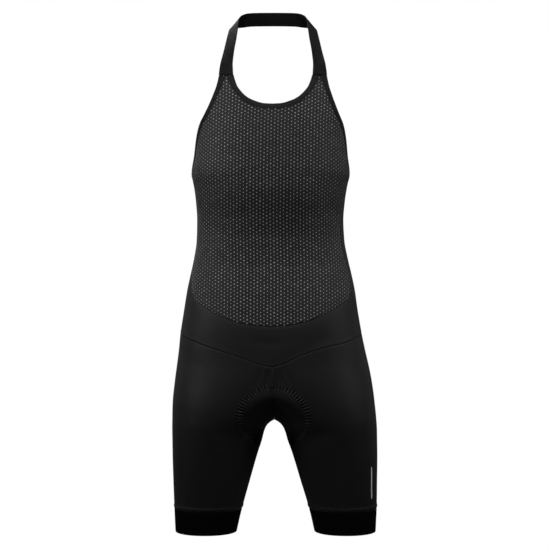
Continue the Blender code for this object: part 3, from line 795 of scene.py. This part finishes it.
def low_edge(side):
    """Edge and inset from the bib's tip down the armhole and round the low back."""
    height = UNDERARM + (BINDING_END - UNDERARM) * np.linspace(1, 0, 70) ** 1.3
    share = read(ARMHOLE, "height", "share", height)
    step = np.linspace(0, 1, 60)[1:]
    back = read(BACK_EDGE, "step", "height", step)
    share = np.concatenate((share, side_seam(back, side) * (1 - step) + step))
    height = np.concatenate((height, back))
    return (share, height), inset_path(share, height, 1.0)


def make_binding(name, path, material, replaces, reverse=False):
    """A folded tape: the rings of both sides joined into one tube, closed at its two ends. Its
    cloth runs along the path and, a little at a time, round the ring."""
    right, left = [binding_rings(*path(side), side) for side in SIDES]
    rings = np.concatenate((right, left[-2::-1]))
    if reverse:
        rings = rings[:, ::-1]
    count, points = rings.shape[:2]
    round_ring = np.arange(points) * BINDING_RING_STEP * MM
    uv = np.stack(np.broadcast_arrays(run_along(rings.mean(1))[:, None], round_ring), -1).reshape(-1, 2)
    uv = np.concatenate((uv, uv[[0, -1]]))
    here, first_middle = np.arange(points), count * points
    ahead, last = np.roll(here, -1), (count - 1) * points
    caps = np.stack((
        np.stack((ahead, here, np.full(points, first_middle)), 1),
        np.stack((last + here, last + ahead, np.full(points, first_middle + 1)), 1),
    ), 1).reshape(-1, 3)
    faces = grid_faces(count, points, around=True)
    everything = np.concatenate((rings.reshape(-1, 3), rings[[0, -1]].mean(1)))
    mesh = bpy.data.meshes.new(name)
    mesh.from_pydata(everything.tolist(), [], faces.tolist() + caps.tolist())
    lay_flat(mesh, uv, np.concatenate((faces.reshape(-1), caps.reshape(-1))))
    return add_piece(name, mesh, material, replaces, "binding")


def strap_grid():
    """Points of the strap's inner face: cubics through its rows, mirrored. The slope at a row is
    half the way from the row before it to the one after it."""
    part = np.linspace(0, 1, 13)[:, None]
    rows = [np.array(row[:3]) * (1 - part) + np.array(row[3:]) * part for row in STRAP]
    for height, upper, lower in STRAP_SEWN:
        width = np.linspace(upper, lower, 13)
        share = share_at_width(width, height)
        heights = np.full(13, height)
        rows.append(look_up(POINTS, share, heights) + STRAP_PLAY * look_up(NORMALS, share, heights))
    left = np.array(rows)
    rows = np.concatenate((left[:0:-1] * (-1, 1, 1), left))
    rows[:, :, 0] += FIGURE["sway"][0]
    before = np.concatenate((2 * rows[:1] - rows[1:2], rows[:-1]))
    after = np.concatenate((rows[1:], 2 * rows[-1:] - rows[-2:-1]))
    tangent = (after - before) / 2
    t = np.linspace(0, 1, 13)[1:, None, None]
    curves = [cubic(t, *rows[i:i + 2], *tangent[i:i + 2]) for i in range(len(rows) - 1)]
    return np.concatenate([rows[:1]] + curves)


def make_strap(material):
    """The neck strap, with its cloth laid flat by the length of its middle."""
    grid = strap_grid()
    run = run_along(grid[:, grid.shape[1] // 2])[:, None]
    across = np.linspace(0, STRAP_WIDTH, grid.shape[1])
    uv = np.stack(np.broadcast_arrays(across, run), -1).reshape(-1, 2) * MM
    points = (grid.reshape(-1, 3) - NAPE) * MM
    faces = grid_faces(*grid.shape[:2], flip=True)
    return new_piece(
        "strap_webbing", points, faces, uv, material, ("neck_strap",), "elastic",
        wall=STRAP_WALL, outwards=True,
    )


def lowest_at(width):
    """Height where the crotch's arch is so far from the middle."""
    heights = np.linspace(CROTCH, HEM, 400)
    return np.interp(width, read(ARCH, "height", "width", heights), heights)


def crotch_points(width, run):
    """Points of the shorts so far from the middle, on the run from front, -1, to back, 1. They
    climb from the crotch's arch as run^2, on the figure's own section."""
    low = lowest_at(np.abs(width))
    height = low + (np.where(run < 0, PAD_FRONT_TOP, PAD_BACK_TOP) - low) * run * run
    outer, front, back, widest, front_power, back_power, sway = figure_sizes(height)
    inner = inner_edge(height, outer)
    middle, half = (outer + inner) / 2, (outer - inner) / 2
    power = np.where(run < 0, front_power, back_power)
    off = np.minimum(1.0, np.abs(np.abs(width) - middle) / half)
    depth = np.where(run < 0, -front - widest, back - widest) * (run != 0)
    return np.stack((width + sway, widest + depth * (1 - off ** power) ** (1 / power), height), -1)


def make_pad(material):
    """The pad: the shorts' own form, moved in and crowned, with channels pressed into it. It
    is thickness + rim (1 - across^8)(1 - spread^16) + crown (1 - across^2)(1 - spread^6)
    thick, less the channels, which are bumps of across and of spread."""
    spread = np.linspace(-1, 1, 91)
    run = np.sign(spread) * np.abs(spread) ** 0.8
    across = np.linspace(-1, 1, 37)
    half_width = read(PAD, "run", "half_width", run)
    width, place = np.broadcast_arrays(half_width[:, None] * across, run[:, None])
    shell = crotch_points(width, place)
    normal = np.cross(np.gradient(shell, axis=0), np.gradient(shell, axis=1))
    normal /= np.linalg.norm(normal, axis=2)[:, :, None]
    spread = spread[:, None]
    rim = (1 - across ** 8) * (1 - spread ** 16)
    crown = (1 - across ** 2) * (1 - spread ** 6)
    channels = sum(bump(np.abs(across) - middle, wide) for middle, wide in PAD_LONG_CHANNELS)
    channels = channels * (1 - bump(spread, 0.25) * 0.5)
    channels = channels + bump(np.abs(spread) - PAD_CROSS_CHANNEL, PAD_CROSS_WIDTH)
    pressed = PAD_CHANNEL * channels * rim * crown ** 0.5
    thick = PAD_THICKNESS + PAD_RIM * rim + PAD_CROWN * crown - pressed
    under = shell - PAD_PLAY * normal
    upper = under - thick[:, :, None] * normal
    rows, columns = shell.shape[:2]
    layer = rows * columns
    corner = np.arange(layer).reshape(rows, columns)
    ring = np.concatenate((corner[:, 0], corner[-1, 1:], corner[-2::-1, -1], corner[0, -2:0:-1]))
    ahead = np.roll(ring, -1)
    faces = np.concatenate((
        grid_faces(rows, columns, flip=True),
        grid_faces(rows, columns) + layer,
        np.stack((ahead, ring, ring + layer, ahead + layer), 1),
    ))
    points = (np.concatenate((under, upper)).reshape(-1, 3) - NAPE) * MM
    flat = np.stack(np.broadcast_arrays(width, spread * PAD_HALF_LENGTH), -1) * MM
    uv = np.concatenate((flat, flat)).reshape(-1, 2)
    pad = new_piece("pad_foam", points, faces, uv, material, ("chamois_pad",), "pad")
    return pad


def make_stitches(name, paths, material, slot, length=2.4, gap=0.8):
    """Rows of stitches. Each path is its points and normals. A stitch is a short spindle of six
    sides, laid along the path and half sunk into it. Sizes are in millimetres."""
    profile = np.array(((-0.5, 0.25), (-0.3, 0.9), (0.3, 0.9), (0.5, 0.25)))
    angle = np.linspace(0, 2 * math.pi, 7)[:-1]
    all_points, all_faces = [], []
    count = 0
    for points, normals in paths:
        run = run_along(points) / MM
        middles = np.arange(length / 2, run[-1] - length / 2, length + gap)
        here, ahead, out = [
            np.stack([np.interp(at, run, values[:, k]) for k in range(3)], 1)
            for at, values in ((middles, points), (middles + 0.4, points), (middles, normals))
        ]
        ahead -= here
        ahead /= np.linalg.norm(ahead, axis=1)[:, None]
        out -= (out * ahead).sum(1)[:, None] * ahead
        out /= np.linalg.norm(out, axis=1)[:, None]
        across = np.cross(ahead, out)
        ring = np.cos(angle)[:, None, None] * across + np.sin(angle)[:, None, None] * out
        for end, size in profile:
            station = here + end * length * MM * ahead + STITCH_RISE * MM * out
            all_points.append(station[None] + size * STITCH_RADIUS * MM * ring)
        number = len(middles)
        block = np.arange(4 * 6 * number).reshape(4, 6, number) + count
        turned = np.roll(block, -1, axis=1)
        sides = np.stack((block[:-1], block[1:], turned[1:], turned[:-1]), -1).reshape(-1, 4)
        all_faces += sides.tolist()
        all_faces += block[0].T.tolist() + block[3].T[:, ::-1].tolist()
        count += 4 * 6 * number
    points = np.concatenate([block.reshape(-1, 3) for block in all_points])
    mesh = bpy.data.meshes.new(name)
    mesh.from_pydata(points.tolist(), [], all_faces)
    return add_piece(name, mesh, material, (), slot, creased=False)


def seam_paths(line, offsets):
    """Both sides' paths at offsets in height from a line of shares and heights."""
    paths = []
    for side in SIDES:
        share, height = line(side)
        paths += [surface(share, height + offset, side) for offset in offsets]
    return paths


def along_leg_seam(side):
    """Line of the V seam and the hip seam."""
    share = np.linspace(0.004, 0.996, 400)
    return share, leg_seam(share, side)


def along_bib_seam(side):
    """Line of the curved seam, from the middle to the side seam."""
    share = np.linspace(0.0, 1.0, 200)
    height = np.full(200, -60.0)
    for _ in range(6):
        height = bib_seam(share * side_seam(height, side))
    return share * side_seam(height, side), height


def zigzag_path(ring, side):
    """The zigzag of stitches over the pad's edge: for each turn round the ring, the place of
    the cloth that lies nearest to it."""
    face, middle, level, radius_x, radius_z = ring[:5]
    shares = np.linspace(0, 0.32, 200) if face < 0 else np.linspace(0.66, 1.0, 220)
    heights = np.linspace(level - 40, level + radius_z + 4, 180)
    height, share = np.meshgrid(heights, shares, indexing="ij")
    x = side * look_up(POINTS, share, height)[..., 0]
    angle = np.linspace(0.02, 2.3, 700) * side
    found = []
    for i, turn in enumerate(angle):
        reach = 1 + (1 if (i // 5) % 2 else -1) * ZIGZAG_HALF_WIDTH / radius_x
        target_x = middle + reach * radius_x * math.sin(turn)
        target_height = level + reach * radius_z * math.cos(turn)
        gap = np.hypot(x - target_x, height - target_height)
        place = np.unravel_index(np.argmin(gap), gap.shape)
        if gap[place] < 1.2:
            found.append((share[place], height[place]))
    found = np.array(found[::5])
    return surface(found[:, 0], found[:, 1], side, 0.05)


def make_bar(material):
    """Slim plain reflective bar on the outside of the left leg, rounded at its ends: its half
    width is sqrt(1 - (distance from its middle / half length)^24) of the full one."""
    height = np.linspace(BAR_TOP, BAR_BOTTOM, 40)[:, None]
    middle, half_length = (BAR_TOP + BAR_BOTTOM) / 2, (BAR_TOP - BAR_BOTTOM) / 2
    share = share_at_width(np.full(40, BAR_FROM_MIDDLE), height[:, 0])[:, None]
    rounded = np.clip(1 - (np.abs(height - middle) / half_length) ** 24, 0.02, 1)
    half = BAR_HALF_WIDTH * np.sqrt(rounded)
    across = np.linspace(-1, 1, 5)[None, :]
    share = share + across * half / length_round(height)
    height = np.broadcast_to(height, share.shape)
    points, _ = surface(share, height, LEFT, 0.12)
    uv = np.stack((share * 0.5, height * MM), -1).reshape(-1, 2)
    faces = grid_faces(*share.shape)
    return new_piece(
        "reflective_bar", points.reshape(-1, 3), faces, uv, material, (), "jersey",
        wall=0.12, outwards=True,
    )


def node(tree, kind, links=(), **settings):
    """A node with its settings; links are (input, value or socket)."""
    made = tree.nodes.new(kind)
    for name, value in settings.items():
        setattr(made, name, value)
    for place, value in links:
        if isinstance(value, bpy.types.NodeSocket):
            tree.links.new(value, made.inputs[place])
        else:
            made.inputs[place].default_value = value
    return made


def maths(tree, operation, *values):
    """The result of a maths node on values or sockets."""
    return node(tree, "ShaderNodeMath", list(enumerate(values)), operation=operation).outputs[0]


def times(tree, first, *others):
    """Product of values or sockets."""
    for other in others:
        first = maths(tree, "MULTIPLY", first, other)
    return first


def plus(tree, first, *others):
    """Sum of values or sockets."""
    for other in others:
        first = maths(tree, "ADD", first, other)
    return first


def minus(tree, first, second):
    """The first value or socket less the second."""
    return maths(tree, "SUBTRACT", first, second)


def noise(tree, scale, detail, output="Fac"):
    """Noise fixed to the piece, in features of about one metre / scale."""
    solid = node(tree, "ShaderNodeTexCoord").outputs["Object"]
    links = [("Vector", solid), ("Scale", scale), ("Detail", detail)]
    return node(tree, "ShaderNodeTexNoise", links).outputs[output]


def cloth_place(tree):
    """The two places on the flat cloth, across and along, in metres."""
    place = node(tree, "ShaderNodeUVMap", uv_map="cloth").outputs["UV"]
    split = node(tree, "ShaderNodeSeparateXYZ", [(0, place)])
    return split.outputs["X"], split.outputs["Y"]


def ramp(tree, value, low, high, at_low=0.0, at_high=1.0, curve="SMOOTHSTEP"):
    """From at_low to at_high as a value goes from low to high."""
    links = [("Value", value), ("From Min", low), ("From Max", high)]
    links += [("To Min", at_low), ("To Max", at_high)]
    return node(tree, "ShaderNodeMapRange", links, interpolation_type=curve).outputs[0]


def grain_group():
    """Knitted grain: rows of stitches with pitches across and along, as a height from 0 to 1,
    and an uneven tone round 1. With wale = |sin(pi across / pitch)|, the height is 0.6 wale +
    0.25 sin(2 pi along / pitch + 1.4 wale)."""
    tree = bpy.data.node_groups.new("knit_grain", "ShaderNodeTree")
    for name in ("Across", "Along"):
        tree.interface.new_socket(name, in_out="INPUT", socket_type="NodeSocketFloat")
    for name in ("Height", "Tone"):
        tree.interface.new_socket(name, in_out="OUTPUT", socket_type="NodeSocketFloat")
    given, result = tree.nodes.new("NodeGroupInput"), tree.nodes.new("NodeGroupOutput")
    across, along = cloth_place(tree)
    turn_across = times(tree, maths(tree, "DIVIDE", across, given.outputs["Across"]), math.pi)
    wale = maths(tree, "ABSOLUTE", maths(tree, "SINE", turn_across))
    turn_along = times(tree, maths(tree, "DIVIDE", along, given.outputs["Along"]), 2 * math.pi)
    loop = maths(tree, "SINE", plus(tree, turn_along, times(tree, wale, 1.4)))
    height = plus(tree, times(tree, wale, 0.6), times(tree, loop, 0.25))
    tree.links.new(height, result.inputs["Height"])
    coarse, fine = times(tree, noise(tree, 9.0, 3.0), 0.5), times(tree, noise(tree, 900.0, 2.0), 0.6)
    tone = plus(tree, coarse, fine, 0.45)
    tree.links.new(tone, result.inputs["Tone"])
    return tree


def knit(tree, grain, across, along):
    """The grain's height and tone for pitches in millimetres."""
    placed = node(tree, "ShaderNodeGroup", node_tree=grain)
    placed.inputs["Across"].default_value = across * MM
    placed.inputs["Along"].default_value = along * MM
    return placed.outputs["Height"], placed.outputs["Tone"]


def new_material(name, roughness, sheen=0.0, specular=0.4):
    """A material, its node tree and its shader."""
    material = bpy.data.materials.new(name)
    material.use_nodes = True
    tree = material.node_tree
    shader = tree.nodes["Principled BSDF"]
    shader.inputs["Roughness"].default_value = roughness
    shader.inputs["Sheen Weight"].default_value = sheen
    shader.inputs["Sheen Roughness"].default_value = 0.4
    shader.inputs["Specular IOR Level"].default_value = specular
    return material, tree, shader


def add_bump(tree, shader, height, distance):
    """Raises the cloth by a height times a distance, in metres."""
    made = node(tree, "ShaderNodeBump", [("Height", height), ("Distance", distance)])
    tree.links.new(made.outputs["Normal"], shader.inputs["Normal"])


def toned(tree, shader, colour, tone):
    """Base colour: a colour, or a socket's, times an uneven tone."""
    scaled = node(tree, "ShaderNodeVectorMath", [(0, colour), ("Scale", tone)], operation="SCALE")
    tree.links.new(scaled.outputs["Vector"], shader.inputs["Base Color"])


def knit_material(name, grain, colour, roughness, across, along, depth, **finish):
    """Knitted cloth, darker between its wales: a painted shade in the grooves of the grain."""
    material, tree, shader = new_material(name, roughness, **finish)
    height, tone = knit(tree, grain, across, along)
    # Painted shade: the colour is darker where the grain is low, between the wales.
    toned(tree, shader, colour, times(tree, tone, plus(tree, times(tree, height, 0.5), 0.8)))
    add_bump(tree, shader, height, depth * MM)
    return material


def mesh_material(grain):
    """The bib's mesh: pale knots in staggered columns on a dark ground. A knot fades with its
    distance from the nearest dot, is darkest round it, and wanders a little. Towards the
    flanks the knots are fainter and the cloth is paler, a painted light as from the side lamps;
    towards the top of the bib's middle the cloth is darker, a painted shade."""
    material, tree, shader = new_material("dot_mesh", 0.7, specular=0.12)
    grain_height, grain_tone = knit(tree, grain, 1.0, 0.8)
    flat_across, flat_along = cloth_place(tree)
    wander = node(tree, "ShaderNodeSeparateXYZ", [(0, noise(tree, 420.0, 1.0, "Color"))])
    columns = maths(tree, "DIVIDE", flat_across, DOT_COLUMN * MM)
    number = maths(tree, "ROUND", columns)
    stagger = times(tree, maths(tree, "FLOORED_MODULO", number, 2.0), 0.5)
    rows = plus(tree, maths(tree, "DIVIDE", flat_along, DOT_ROW * MM), stagger)
    off_across = plus(
        tree,
        times(tree, minus(tree, columns, number), DOT_COLUMN),
        times(tree, minus(tree, wander.outputs["X"], 0.5), DOT_WANDER),
    )
    off_along = plus(
        tree,
        times(tree, minus(tree, rows, maths(tree, "ROUND", rows)), DOT_ROW),
        times(tree, minus(tree, wander.outputs["Y"], 0.5), DOT_WANDER),
    )
    squares = plus(tree, times(tree, off_across, off_across), times(tree, off_along, off_along))
    off = maths(tree, "SQRT", squares)
    # Towards the flanks: fainter knots, and a paler cloth that is painted light, as from the side
    # lamps.
    flank_fade_and_light = ramp(tree, maths(tree, "ABSOLUTE", flat_across), FLANK_LIGHT_FROM * MM, FLANK_LIGHT_FULL * MM)
    # Towards the top of the bib's middle: painted shade, darker there.
    chest_shade = ramp(tree, flat_along, CHEST_SHADE_FROM * MM, CHEST_SHADE_FULL * MM)
    dot = times(
        tree,
        ramp(tree, off, DOT_CORE, DOT_EDGE, 1.0, 0.0),
        plus(tree, times(tree, noise(tree, 130.0, 1.0), 1.7), 0.1),
        minus(tree, 1.0, times(tree, flank_fade_and_light, 0.5)),
    )
    # Painted shade towards the top of the bib's middle, and painted light on the flanks.
    shade = minus(tree, 1.0, times(tree, chest_shade, minus(tree, 1.0, flank_fade_and_light), 0.25))
    shade = plus(tree, shade, times(tree, flank_fade_and_light, 0.4))
    mix = node(tree, "ShaderNodeMix", data_type="RGBA")
    mix.inputs["A"].default_value = (0.0115, 0.0115, 0.0119, 1)
    mix.inputs["B"].default_value = (0.44, 0.44, 0.445, 1)
    tree.links.new(dot, mix.inputs["Factor"])
    rim = ramp(tree, off, RIM_CORE, RIM_EDGE, 0.6, 1.0, "LINEAR")
    toned(tree, shader, mix.outputs["Result"], times(tree, grain_tone, rim, shade))
    add_bump(tree, shader, plus(tree, dot, times(tree, grain_height, 0.25)), 0.35 * MM)
    return material


def strap_material():
    """Elastic webbing: ribs |sin(pi across / 1.9 mm)| along its length, with fine threads
    sin(2 pi along / 0.9 mm) across them."""
    material, tree, shader = new_material("ribbed_elastic", 0.78, specular=0.08)
    across, along = cloth_place(tree)
    rib = maths(tree, "ABSOLUTE", maths(tree, "SINE", times(tree, across, math.pi / (1.9 * MM))))
    thread = maths(tree, "SINE", times(tree, along, 2 * math.pi / (0.9 * MM)))
    # Painted shade: the colour is darker between the ribs, where the ribs' height is low.
    toned(tree, shader, (0.0052, 0.0052, 0.0055), plus(tree, times(tree, rib, 0.7), 0.45))
    add_bump(tree, shader, plus(tree, rib, times(tree, thread, 0.2)), 0.35 * MM)
    return material


def plain_material(name, colour, roughness, **finish):
    """A finish with a fine uneven grain."""
    material, tree, shader = new_material(name, roughness, **finish)
    fine = noise(tree, 700.0, 3.0)
    toned(tree, shader, colour, plus(tree, fine, 0.5))
    add_bump(tree, shader, fine, 0.2 * MM)
    return material


# Soft lights: place and target in metres, sizes, watts and spread in degrees.
LIGHTS = (
    ("key_left", (-1.75, -0.85, 0.30), (-0.02, -0.1, -0.38), (0.6, 0.6), 1.4, 38),
    ("key_right", (1.85, -0.75, 0.28), (0.05, -0.1, -0.38), (0.6, 0.6), 0.95, 38),
    ("front", (0.0, -0.95, 1.0), (0.0, -0.1, -0.48), (0.9, 0.5), 1.35, 27),
    ("back", (-0.7, 1.5, 0.9), (0.0, 0.0, -0.45), (0.9, 0.9), 5.0, 60),
    ("rim_left", (-1.5, 0.9, -0.2), (-0.1, 0.0, -0.5), (0.4, 1.4), 1.2, 180),
    ("rim_right", (1.5, 1.0, -0.2), (0.1, 0.0, -0.5), (0.4, 1.4), 1.2, 180),
    ("overhead", (0.0, -0.3, 2.3), (0.0, -0.3, -1.0), (2.6, 2.6), 85, 180),
)
FLOOR_HEIGHT, FLOOR_RADIUS = -1.3, 1.7
CAMERA_PLACE = (0.0020, -2.658, -0.457)
CAMERA_LENS, CAMERA_FILM = 97.25, 36.0


def add_area_light(name, place, target, size, watts, spread):
    """A rectangular light turned from its place towards its target."""
    light = bpy.data.lights.new(name, "AREA")
    light.shape = "RECTANGLE"
    light.size, light.size_y = size
    light.energy = watts
    light.spread = math.radians(spread)
    made = bpy.data.objects.new(name, light)
    aim = np.array(target, float) - np.array(place, float)
    flat = math.hypot(aim[0], aim[1])
    made.location = place
    made.rotation_euler = (math.atan2(flat, -aim[2]), 0.0, math.atan2(-aim[0], aim[1]))
    bpy.context.scene.collection.objects.link(made)


def seen_and_lit(tree, seen, lit, output):
    """Shows the camera one shader, and lights the garment with the other."""
    ray = node(tree, "ShaderNodeLightPath").outputs["Is Camera Ray"]
    mix = node(tree, "ShaderNodeMixShader", [(0, ray), (1, lit.outputs[0]), (2, seen.outputs[0])])
    node(tree, output, [("Surface", mix.outputs[0])])


def grey(tree, kind, level, **links):
    """A shader of one even grey."""
    return node(tree, kind, [("Color", (level, level, level, 1))] + list(links.items()))


def make_stage():
    """Pale round floor well below, pale backdrop, soft lights and the camera."""
    turn = np.linspace(0, 2 * math.pi, 97)[:-1]
    rim = np.stack((np.cos(turn), np.sin(turn), np.zeros(len(turn))), 1) * FLOOR_RADIUS
    rim[:, 2] = FLOOR_HEIGHT
    mesh = bpy.data.meshes.new("floor")
    mesh.from_pydata(rim.tolist(), [], [tuple(range(len(turn)))])
    material = bpy.data.materials.new("floor_paint")
    material.use_nodes = True
    tree = material.node_tree
    tree.nodes.clear()
    pale, dull = [grey(tree, "ShaderNodeBsdfDiffuse", level) for level in (0.95, 0.10)]
    seen_and_lit(tree, pale, dull, "ShaderNodeOutputMaterial")
    mesh.materials.append(material)
    floor = bpy.data.objects.new("floor", mesh)
    bpy.context.scene.collection.objects.link(floor)

    world = bpy.data.worlds.new("studio")
    world.use_nodes = True
    tree = world.node_tree
    tree.nodes.clear()
    bright, dim = [grey(tree, "ShaderNodeBackground", 1.0, Strength=level) for level in (1.0, 0.012)]
    seen_and_lit(tree, bright, dim, "ShaderNodeOutputWorld")
    bpy.context.scene.world = world
    for light in LIGHTS:
        add_area_light(*light)

    bpy.context.scene.view_settings.view_transform = "Standard"
    camera = bpy.data.cameras.new("camera")
    camera.lens, camera.sensor_width = CAMERA_LENS, CAMERA_FILM
    placed = bpy.data.objects.new("camera", camera)
    placed.location = CAMERA_PLACE
    placed.rotation_euler = (math.pi / 2, 0.0, 0.0)
    bpy.context.scene.collection.objects.link(placed)
    bpy.context.scene.camera = placed


def make_seams(thread):
    """Rows of stitches along the seams, the tapes and the pad's rings."""
    hip, belly = seam_paths(along_leg_seam, (1.7, -1.7)), seam_paths(along_bib_seam, (-2.4,))
    make_stitches("stitches_hip_seam", hip, thread, "jersey")
    make_stitches("stitches_bib_seam", belly, thread, "jersey")
    share = np.linspace(0, 1, 400)
    bands = [surface(share, np.full(len(share), GRIPPER_TOP + 2.6), side) for side in SIDES]
    make_stitches("stitches_bands", bands, thread, "jersey")
    rise = 0.8 * (BINDING_PLAY + BINDING_WALL)
    tapes = []
    for side in SIDES:
        for path in (neckline, low_edge):
            edge, inset = path(side)
            middle = [(at_edge + at_inset) / 2 for at_edge, at_inset in zip(edge, inset)]
            tapes.append(surface(*middle, side, rise))
    make_stitches("stitches_tape", tapes, thread, "binding")
    rings = [zigzag_path(ring, side) for ring in RINGS for side in SIDES]
    make_stitches("stitches_pad", rings, thread, "jersey", length=2.2, gap=0.3)


def main():
    """The cloth, tapes, strap, pad and stitches on the garment, then the stage."""
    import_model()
    grain = grain_group()
    jersey = knit_material(
        "jersey", grain, (0.0080, 0.0080, 0.0084), roughness=0.52, across=0.7, along=0.6, depth=0.05,
        sheen=0.01, specular=0.13,
    )
    gripper = knit_material(
        "gripper", grain, (0.0017, 0.0017, 0.0017), roughness=0.85, across=1.4, along=1.0, depth=0.10,
        specular=0.03,
    )
    tape = knit_material(
        "tape", grain, (0.0034, 0.0034, 0.0036), roughness=0.65, across=1.0, along=0.7, depth=0.08,
        specular=0.1,
    )
    thread = plain_material("thread", (0.0105, 0.0105, 0.011), roughness=0.55, specular=0.2)
    fleece = plain_material("fleece", (0.020, 0.020, 0.022), roughness=0.9, sheen=0.1)
    silver = plain_material("reflective_print", (0.55, 0.55, 0.56), roughness=0.35)

    mesh, bib_halves = mesh_material(grain), [bib_half(side) for side in SIDES]
    bib = cloth_piece("bib_mesh", bib_halves, mesh, ("bib_front",), "mesh")
    yoke_halves = [yoke_half(side) for side in SIDES]
    yoke = cloth_piece("yoke_cloth", yoke_halves, jersey, ("front_yoke",), "jersey")
    back_halves = [back_half(side) for side in SIDES]
    back = cloth_piece("back_cloth", back_halves, jersey, ("back_panel",), "jersey")
    for name, side in (("left", LEFT), ("right", RIGHT)):
        leg = cloth_piece("leg_cloth_" + name, [leg_grid(side)], jersey, ("leg_" + name,), "jersey")
        band = cloth_piece(
            "band_" + name, [gripper_grid(side)], gripper, ("gripper_" + name,), "gripper", GRIPPER_WALL
        )
    make_binding("neck_tape", neckline, tape, ("neck_binding",), reverse=True)
    make_binding("edge_tape", low_edge, tape, ("edge_binding",))
    webbing = make_strap(strap_material())
    make_pad(fleece)
    make_seams(thread)
    make_bar(silver)
    make_stage()


main()
